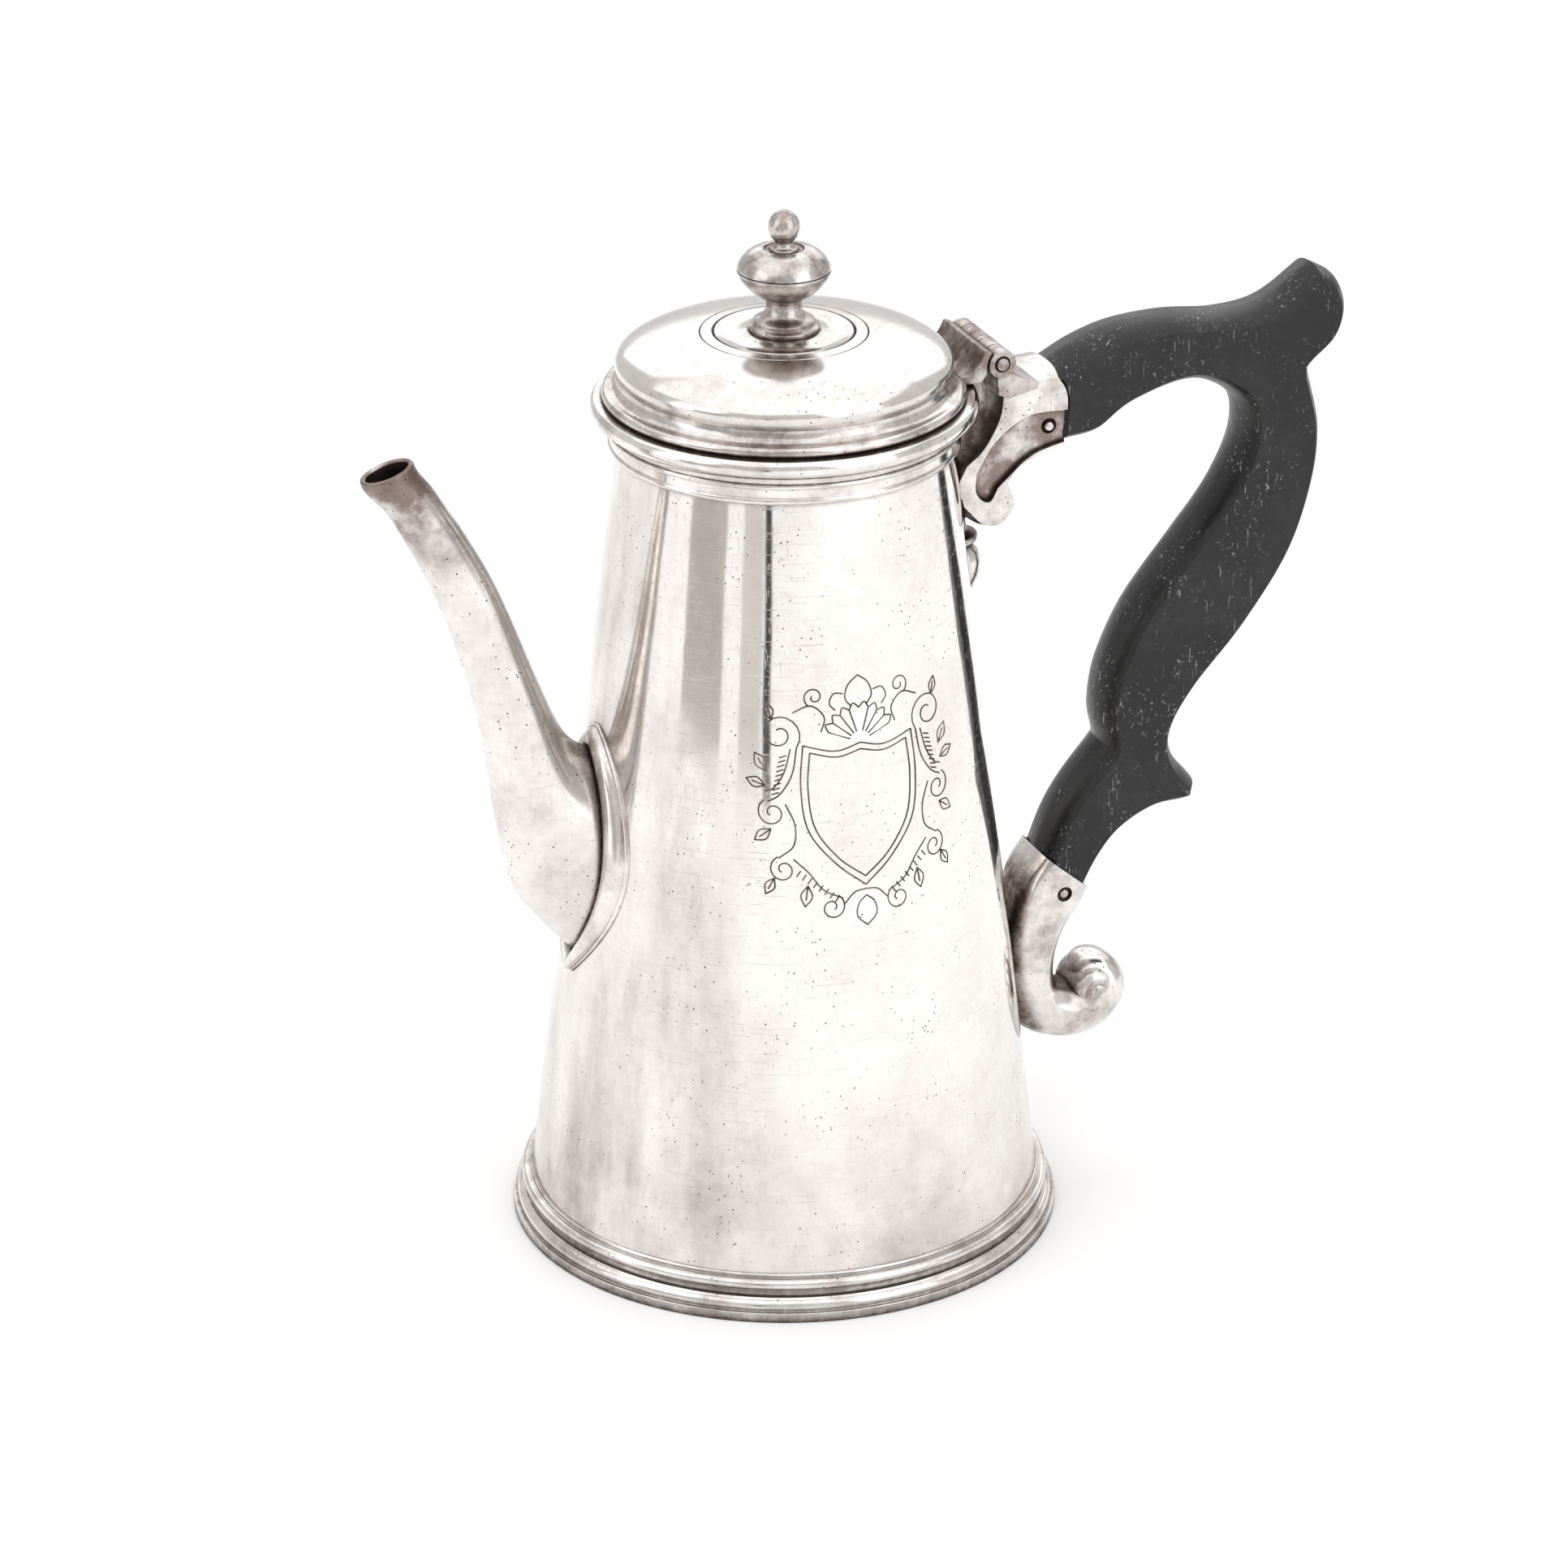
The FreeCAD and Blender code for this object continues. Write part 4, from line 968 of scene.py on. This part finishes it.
class AddSockets(bpy.types.Operator):
    """Make the two handle sockets, the drop below the upper one and the rivets."""
    bl_idname = "coffee_pot.add_sockets"
    bl_label = "Handle sockets"

    def execute(self, context):
        half = box_edge("upper_socket", Y, HIGH)
        metal = silver("cast_silver_sockets", 0.80, 1.4, 1.3, 0.9, 0.14, patch=8.0, haze=0.30,
                       hollow=half)
        line = outline([
            upper_joint(),
            [upper_joint()[-1], *places(near_mouth, (20.5, -9.3), (16.6, -11.0), (13.5, -13.9))],
            places(near_mouth, (13.5, -13.9), (15.2, -19.0), (11.6, -23.8), (6.4, -23.4),
                   (1.4, -18.5)),
            places(near_mouth, (1.4, -18.5), (-0.2, -13.0), (2.0, -8.0)),
            places(near_mouth, (2.0, -8.0), (6.2, -4.4), (9.6, 2.0), (10.2, 8.7)),
            [*places(near_mouth, (10.2, 8.7), (17.0, 9.7)), upper_joint()[0]],
        ], 1.0)
        made = carved("pot_upper_socket", line,
                      [(0.0, 1.5), (0.12, 3.6), (0.40, 5.6), (0.80, half - 0.9), (1.1, half - 0.1),
                       (1.25, half)])
        panel = outline([
            places(near_mouth, (28.5, 1.2), (26.0, 1.0), (17.0, 0.8), (9.6, -3.9), (5.2, -10.6)),
            places(near_mouth, (5.2, -10.6), (5.0, -14.6), (6.6, -17.0), (8.6, -17.4), (10.2, -14.6)),
            places(near_mouth, (10.2, -14.6), (12.6, -12.5), (16.4, -9.3), (20.4, -7.4), (28.5, -5.6)),
            places(near_mouth, (28.5, -5.6), (28.5, 1.2)),
        ], 1.0)
        sunk = 1.3
        for side in (-1, 1):
            shifted = [point + Vector((0, side * half, 0)) for point in panel]
            take_out(made, slab("panel_tool", shifted, sunk))
        # The casting is filed hollow to sit on the wall, and must not show through inside
        _, mouth_radius, mouth_height, foot_height = sizes()
        depth = 0.9
        tool = turned("wall_tool", [
            (0, foot_height), (wall_radius(foot_height) - depth, foot_height),
            (mouth_radius - depth, mouth_height), (mouth_radius - depth, mouth_height + 12.0),
            (0, mouth_height + 12.0)])
        take_out(made, tool)
        self.countersink(made, upper_rivet(), half - sunk)
        finish(made, "pot", ["upper_socket"], metal, soften=0.22, corner=35)
        self.lower(metal)
        self.drop(metal)
        rivet_metal = silver("worn_silver_rivets", 0.9, 0.5, 1.4, 1.0, 0.2, patch=2.0, haze=0.5)
        for node, place in (("upper_rivet", upper_rivet()), ("lower_rivet", lower_rivet())):
            low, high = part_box(node)
            radius = (high[Z] - low[Z]) / 2 / MM - 0.2
            made = rod("pot_" + node, radius, (high[Y] - low[Y]) / MM, place)
            finish(made, "pot", [node], rivet_metal, soften=0.6, segments=4)
        return {"FINISHED"}

    def countersink(self, made, place, half):
        """Sink a ring round each end of a rivet, 0.7 mm deep."""
        for side in (-1, 1):
            take_out(made, rod("rivet_tool", 1.75, 1.4, place + Vector((0, side * half, 0))))

    def lower(self, metal):
        """Make the lower socket as one tapering tube that curls into a volute."""
        # centre x, centre z, half depth, half width of the tube from the joint to the tip
        joint = lower_joint()
        start = (joint[0] + joint[1]) / 2
        depth = (joint[1] - joint[0]).length / 2
        course = [
            (0.0, 0.0, depth, 8.4), (-2.9, -5.0, 7.5, 8.3), (-5.7, -11.2, 6.7, 7.9),
            (-7.5, -19.5, 6.1, 7.7), (-7.2, -27.4, 6.2, 7.6), (-4.2, -33.2, 6.6, 7.6),
            (1.8, -35.9, 6.5, 7.7), (7.4, -35.0, 6.6, 7.9), (11.0, -31.0, 5.7, 7.9),
            (10.6, -27.8, 4.2, 7.2), (8.4, -26.6, 3.2, 6.2), (6.2, -27.4, 2.6, 5.0),
            (5.2, -28.8, 1.4, 3.0),
        ]
        dense = curve_through(course, 60)
        first = (joint[1] - joint[0]).normalized()
        rings = []
        sides = 64
        for number, (x, z, deep, wide) in enumerate(dense):
            ahead = dense[min(number + 1, len(dense) - 1)]
            behind = dense[max(number - 1, 0)]
            along = Vector((ahead[0] - behind[0], 0, ahead[1] - behind[1])).normalized()
            across = first.lerp(Vector((-along.z, 0, along.x)), min(1.0, number / 10.0)).normalized()
            power = 2.0 / (5.4 - 3.2 * min(1.0, number / 22.0))
            ring = []
            for side in range(sides):
                angle = 2 * math.pi * side / sides
                cosine, sine = math.cos(angle), math.sin(angle)
                point = start + Vector((x, 0, z))
                point += across * deep * math.copysign(abs(cosine) ** power, cosine)
                point.y = wide * math.copysign(abs(sine) ** power, sine)
                limit = wall_radius(point.z) - 0.6
                reach = math.hypot(point.x, point.y)
                if reach < limit:
                    point.x = math.sqrt(max(limit * limit - point.y * point.y, 1.0))
                ring.append(point)
            rings.append(ring)
        made = swept("pot_lower_socket", rings)
        self.countersink(made, lower_rivet(), 8.2)
        finish(made, "pot", ["lower_socket"], metal, soften=0.2, corner=50)
        eye = start + Vector((8.6, 0, -31.2))
        side = [(0, 7.0), (1.5, 7.0), (1.9, 6.75), (2.3, 7.05), (3.6, 6.8), (5.0, 6.0), (6.0, 4.2)]
        button = turned("pot_lower_volute_eye",
                        [(radius, -rise) for radius, rise in side] + side[::-1],
                        centre=eye, axis=(0, 1, 0), steps=96)
        finish(button, "pot", ["lower_socket"], metal, soften=0.1)

    def drop(self, metal):
        """Make the neck, bead and pointed shell on the body below the upper socket."""
        top = near_mouth(0, -21.5)
        bottom = near_mouth(0, -42.5)
        top.x = wall_radius(top.z) + 0.3
        bottom.x = wall_radius(bottom.z) + 0.3
        down = (bottom - top).normalized()
        length = (bottom - top).length
        corners = [
            (0, 0), (3.6, 0.0), (2.8, 2.4), (3.0, 4.6), (4.2, 5.2, (5.2, 6.2)), (4.0, 7.2),
            (3.4, 7.6), (4.9, 9.6), (5.3, 11.8), (4.8, 14.6), (3.2, 17.8), (1.4, length - 0.6),
            (0, length)]
        made = turned("pot_socket_drop", corners, centre=top, axis=down, steps=96)
        outwards = Vector((-down.z, 0, down.x))
        if outwards.x < 0:
            outwards = -outwards
        bpy.ops.mesh.select_all(action="SELECT")
        bpy.ops.mesh.bisect(plane_co=(top - outwards * 1.0) * MM, plane_no=outwards,
                            clear_inner=True, use_fill=True)
        close_up()
        finish(made, "pot", ["socket_drop"], metal, soften=0.1)


class AddHandle(bpy.types.Operator):
    """Carve the wooden double scroll with its thumb spur and its lower spur."""
    bl_idname = "coffee_pot.add_handle"
    bl_label = "Handle"

    def execute(self, context):
        upper, lower = upper_joint(), lower_joint()
        thumb_tip = near_mouth(86.8, 23.9)
        heel = near_mouth(85.3, 1.6)
        lower_tip = beside(50.0, 45.2)
        crook = beside(29.0, 52.2)
        # Both ends run on for 3 mm inside their sockets, so that only the free length is rounded
        hidden_top = [place + Vector((-3.0, 0, -0.9)) for place in upper]
        middle = (lower[0] + lower[1]) / 2
        hidden_foot = [place.lerp(middle, 0.35) + Vector((-1.6, 0, -2.0)) for place in lower]
        line = outline([
            hidden_top[::-1],
            [hidden_top[0], upper[0]],
            [upper[0],
             *places(near_mouth, (32.0, 13.8), (41.0, 16.3), (53.0, 17.0), (66.0, 15.9), (76.5, 17.4)),
             thumb_tip],
            [thumb_tip, *places(near_mouth, (91.8, 20.6), (93.8, 14.2), (91.6, 7.2)), heel],
            [heel,
             *places(beside, (87.0, 92.8), (84.2, 84.8), (77.0, 75.5), (64.6, 66.2), (51.8, 58.6),
                     (45.6, 53.4), (45.4, 49.4)),
             lower_tip],
            [lower_tip, *places(beside, (47.6, 42.7), (38.6, 42.2), (30.6, 40.0), (25.2, 36.8)),
             lower[-1]],
            [lower[-1], hidden_foot[-1]],
            hidden_foot[::-1],
            [hidden_foot[0], lower[0]],
            [lower[0], *places(beside, (15.4, 42.8), (20.5, 46.9)), crook],
            [crook,
             *places(beside, (28.6, 56.6), (31.6, 62.8), (39.4, 70.6), (51.0, 78.2), (62.2, 85.6),
                     (68.4, 92.4), (67.6, 97.8)),
             *places(near_mouth, (57.0, 1.9), (43.0, -1.2), (34.6, -6.4)), upper[-1]],
            [upper[-1], hidden_top[-1]],
        ], 1.1)
        half = box_edge("handle", Y, HIGH)
        passes = []
        # Rounded from the middle to a crisp arris 2.5 mm in, where it meets the flat side
        last = math.radians(56)
        for share in (0.05, 0.25, 0.45, 0.65, 0.83, 1.0):
            inset = 2.5 * (1 - math.cos(last * share)) / (1 - math.cos(last))
            passes.append((inset, half * math.sin(last * share) / math.sin(last)))
        made = carved("pot_handle", line, passes)
        finish(made, "pot", ["handle"], ebonised_wood("ebonised_fruitwood"),
               soften=0.22)
        return {"FINISHED"}


def spiral(centre, radius, start, turns, tightness=0.22, count=26):
    """Return a scroll's line, wound in from its outer radius."""
    points = []
    for step in range(count):
        share = step / (count - 1.0)
        reach = radius * (1 - (1 - tightness) * share)
        angle = math.radians(start) + 2 * math.pi * turns * share
        points.append((centre[0] + reach * math.cos(angle), centre[1] + reach * math.sin(angle)))
    return points


def fan(reach, number):
    """Return a place on the scallop above the shield, whose ribs lie 17 degrees apart."""
    angle = math.radians(90 - 17 * number)
    return reach * math.cos(angle), 12.8 + reach * math.sin(angle)


def engraved_lines():
    """Return the lines of a plain scroll cartouche around an empty shield, in millimetres."""
    half = [
        curve_through([(0, 12.6), (5.5, 11.4), (12.4, 13.0)], 12),
        curve_through([(12.4, 13.0), (13.2, 4.0), (12.0, -5.5), (6.5, -13.0), (0, -18.5)], 22),
        curve_through([(0, 11.2), (5.3, 10.1), (11.0, 11.4)], 12),
        curve_through([(11.0, 11.4), (11.7, 3.8), (10.6, -4.9), (5.8, -11.9), (0, -16.6)], 22),
        spiral((17.2, 15.6), 4.6, -140, -1.45),
        curve_through([(13.7, 12.6), (14.9, 6.8), (17.6, 2.6), (20.3, 1.0)], 12),
        curve_through([(15.0, 12.4), (16.4, 7.6), (18.6, 4.2), (20.6, 3.2)], 12),
        spiral((19.4, -1.4), 3.2, 60, -1.3),
        curve_through([(16.6, 0.4), (14.8, -4.0), (15.2, -8.6), (18.4, -11.2)], 12),
        spiral((17.6, -13.8), 3.0, 70, -1.35),
        curve_through([(15.4, -11.6), (12.2, -14.8), (9.4, -18.6), (5.2, -20.8)], 12),
        spiral((7.6, -22.6), 2.9, 120, 1.3),
        curve_through([(4.8, -22.0), (2.6, -19.8), (0, -19.4)], 8),
        curve_through([(0, -27.4), (2.2, -25.2), (1.8, -22.4), (0, -20.8)], 10),
        curve_through([(14.2, 20.2), (10.4, 21.6), (7.6, 19.0), (8.4, 15.8)], 12),
        spiral((9.6, 23.4), 2.3, -60, 1.25),
        curve_through([(0, 27.2), (2.2, 25.4), (3.0, 22.6), (1.6, 20.6)], 10),
        curve_through([(3.4, 23.6), (5.4, 23.8), (6.4, 21.8), (5.2, 20.2)], 10),
    ]
    # Scallop above the shield: ribs that fan out, with a lobe between each pair
    inner, outer, crest = 2.4, 7.4, 8.6
    for number in range(1, 5):
        half.append([fan(inner, number), fan(outer, number)])
    for number in range(4):
        half.append(curve_through(
            [fan(outer, number), fan(crest, number + 0.5), fan(outer, number + 1)], 7))
    # Leaves along the sides, each a lobe with a vein
    for x, y, turn, long in ((21.4, 9.6, 60, 4.6), (22.6, 5.2, 20, 4.2), (21.6, -6.2, -35, 4.4),
                             (20.6, -17.4, -60, 4.0), (13.0, -19.8, -80, 4.6), (19.2, 20.6, 75, 3.8)):
        ahead = Vector((math.cos(math.radians(turn)), math.sin(math.radians(turn))))
        beside_it = Vector((-ahead.y, ahead.x))
        root = Vector((x, y)) - ahead * long / 2
        tip = Vector((x, y)) + ahead * long / 2
        for bend in (1, -1):
            half.append(curve_through([
                tuple(root), tuple((root + tip) / 2 + beside_it * bend * long * 0.27), tuple(tip)], 8))
        half.append([tuple(root), tuple(tip - ahead * long * 0.3)])
    # Short shading cuts beside the big scrolls
    for number in range(9):
        y = 11.0 - number * 1.0
        x = 15.9 + 0.24 * number
        half.append([(x, y), (x + 1.5, y - 0.5)])
    for number in range(8):
        share = number / 7.0
        x, y = 14.0 - 8.0 * share, -14.2 - 6.0 * share
        half.append([(x, y), (x + 0.9, y - 1.2)])
    lines = []
    for line in half:
        lines.append(list(line))
        lines.append([(-x, y) for x, y in line])
    return lines


class AddEngraving(bpy.types.Operator):
    """Cut a plain scroll cartouche around an empty shield into the side of the body."""
    bl_idname = "coffee_pot.add_engraving"
    bl_label = "Engraving"

    def execute(self, context):
        middle = beside(0, 61.6).z
        seed = self.on_body(0, 0, middle)
        made = begin("plane", "pot_engraving", size=MM, location=seed * MM)
        bpy.ops.mesh.merge(type="CENTER")
        place = seed
        for line in engraved_lines():
            points = [self.on_body(u, v, middle) for u, v in line]
            bpy.ops.mesh.duplicate_move(TRANSFORM_OT_translate={"value": (points[0] - place) * MM})
            for start, end in zip(points, points[1:]):
                bpy.ops.mesh.extrude_region_move(
                    TRANSFORM_OT_translate={"value": (end - start) * MM})
            place = points[-1]
        bpy.ops.object.mode_set(mode="OBJECT")
        bpy.ops.object.convert(target="CURVE")
        made = bpy.context.object
        made.data.bevel_depth = 0.17 * MM
        made.data.bevel_resolution = 0
        bpy.ops.object.convert(target="MESH")
        made = bpy.context.object
        finish(made, "pot", [], cut_line_silver("graver_cut_silver"))
        return {"FINISHED"}

    def on_body(self, across, up, middle):
        """Wrap a place of the drawing round the tapered wall, on the side away from the hands."""
        height = middle + up
        radius = wall_radius(height)
        angle = -math.pi / 2 + across / radius
        return Vector((radius * math.cos(angle), radius * math.sin(angle), height))


class AddStage(bpy.types.Operator):
    """Lay the pale floor, hang the soft lights and set up the camera."""
    bl_idname = "coffee_pot.add_stage"
    bl_label = "Stage"

    def execute(self, context):
        floor = begin("plane", "floor", size=6.0)
        bpy.ops.mesh.subdivide(number_cuts=3)
        bpy.ops.object.mode_set(mode="OBJECT")
        floor.data.materials.append(plain_paper("white_backdrop_paper"))
        self.world()
        # name, azimuth from the camera's side, distance, height, width, height of the light, watts
        for name, turn, distance, height, wide, tall, power in (
                ("right_softbox", 48.0, 1.5, 0.75, 1.1, 1.5, 5.6),
                ("left_softbox", -62.0, 1.5, 0.70, 1.0, 1.4, 4.4),
                ("back_softbox", 175.0, 1.8, 1.2, 2.4, 1.2, 8.0)):
            self.softbox(name, turn, distance, height, wide, tall, power)
        bpy.ops.object.light_add(type="AREA", location=(0, 0, 1.9))
        top = bpy.context.object
        top.name = "top_softbox"
        top.data.shape = "RECTANGLE"
        top.data.size, top.data.size_y = 3.4, 3.4
        top.data.energy = 26.0
        for name, turn, distance, wide, tall, shade in (
                ("dark_card", -9.5, 0.60, 0.042, 0.22, "#040404"),
                ("grey_card", -19.0, 0.61, 0.13, 0.30, "#D4D1CF"),
                ("pale_card", -48.0, 0.60, 0.26, 0.30, "#B9B6B3")):
            self.card(name, turn, distance, wide, tall, shade)
        self.camera()
        bpy.context.scene.view_settings.view_transform = "Standard"
        return {"FINISHED"}

    def heading(self, turn, distance, height):
        """Return a place at an angle from the camera's direction, seen from the pot."""
        angle = math.radians(turn - 90.0 - CAMERA_TURN)
        return Vector((distance * math.cos(angle), distance * math.sin(angle), height))

    def world(self):
        """Fill the room with a pale even light."""
        world = bpy.data.worlds.new("pale_room")
        bpy.context.scene.world = world
        world.use_nodes = True
        back = world.node_tree.nodes["Background"]
        back.inputs["Color"].default_value = (*colour("#FFFFFF"), 1.0)
        back.inputs["Strength"].default_value = 0.74

    def softbox(self, name, turn, distance, height, wide, tall, power):
        """Hang one rectangular light that faces the pot."""
        place = self.heading(turn, distance, height)
        aim = Vector((0, 0, 0.1)) - place
        bpy.ops.object.light_add(type="AREA", location=place)
        light = bpy.context.object
        light.name = name
        light.rotation_euler = aim.to_track_quat("-Z", "Y").to_euler()
        light.data.shape = "RECTANGLE"
        light.data.size, light.data.size_y = wide, tall
        light.data.energy = power

    def card(self, name, turn, distance, wide, tall, shade):
        """Stand a narrow card that only reflections show."""
        place = self.heading(turn, distance, tall / 2)
        bpy.ops.object.select_all(action="DESELECT")
        bpy.ops.mesh.primitive_plane_add(size=1.0, location=place)
        card = bpy.context.object
        card.name = name
        card.scale = (wide, tall, 1.0)
        card.rotation_euler = (math.pi / 2, 0, math.radians(turn - CAMERA_TURN))
        bpy.ops.object.transform_apply(location=True, rotation=True, scale=True)
        card.visible_camera = False
        card.visible_shadow = False
        card.visible_diffuse = False
        material, _, _, shader = new_material(name + "_felt")
        shader.inputs["Base Color"].default_value = (*colour(shade), 1.0)
        shader.inputs["Roughness"].default_value = 0.9
        card.data.materials.append(material)

    def camera(self):
        """Look down on the pot from the side of its handle and spout."""
        turn = math.radians(CAMERA_TURN)
        distance, height = 1.2397, 0.6549
        bpy.ops.object.camera_add(
            location=(-distance * math.sin(turn), -distance * math.cos(turn), height),
            rotation=(math.radians(90 - 24.14), 0, -turn))
        camera = bpy.context.object
        camera.name = "camera"
        camera.data.sensor_width = 36.0
        camera.data.lens = 144.5
        bpy.context.scene.camera = camera


PIECES = (AddBody, AddFoot, AddMouth, AddLid, AddFinial, AddHinge, AddSpout, AddSockets, AddHandle,
          AddEngraving, AddStage)


class CoffeePotPanel(bpy.types.Panel):
    """List the pot's pieces in the sidebar."""
    bl_idname = "VIEW3D_PT_coffee_pot"
    bl_label = "Coffee Pot"
    bl_space_type = "VIEW_3D"
    bl_region_type = "UI"
    bl_category = "Coffee Pot"

    def draw(self, context):
        for maker in PIECES:
            self.layout.operator(maker.bl_idname)


CLASSES = (PotSizes, SilverLook, WoodLook) + PIECES + (CoffeePotPanel,)


def register():
    """Register the classes and hang the sizes and looks on the scene."""
    for kind in CLASSES:
        bpy.utils.register_class(kind)
    bpy.types.Scene.pot_sizes = PointerProperty(type=PotSizes)
    bpy.types.Scene.silver_look = PointerProperty(type=SilverLook)
    bpy.types.Scene.wood_look = PointerProperty(type=WoodLook)


def unregister():
    """Take everything that register added away again."""
    del bpy.types.Scene.wood_look
    del bpy.types.Scene.silver_look
    del bpy.types.Scene.pot_sizes
    for kind in reversed(CLASSES):
        bpy.utils.unregister_class(kind)


def main():
    """Make every piece in order."""
    register()
    for maker in PIECES:
        group, name = maker.bl_idname.split(".")
        getattr(getattr(bpy.ops, group), name)()


if __name__ == "__main__":
    main()
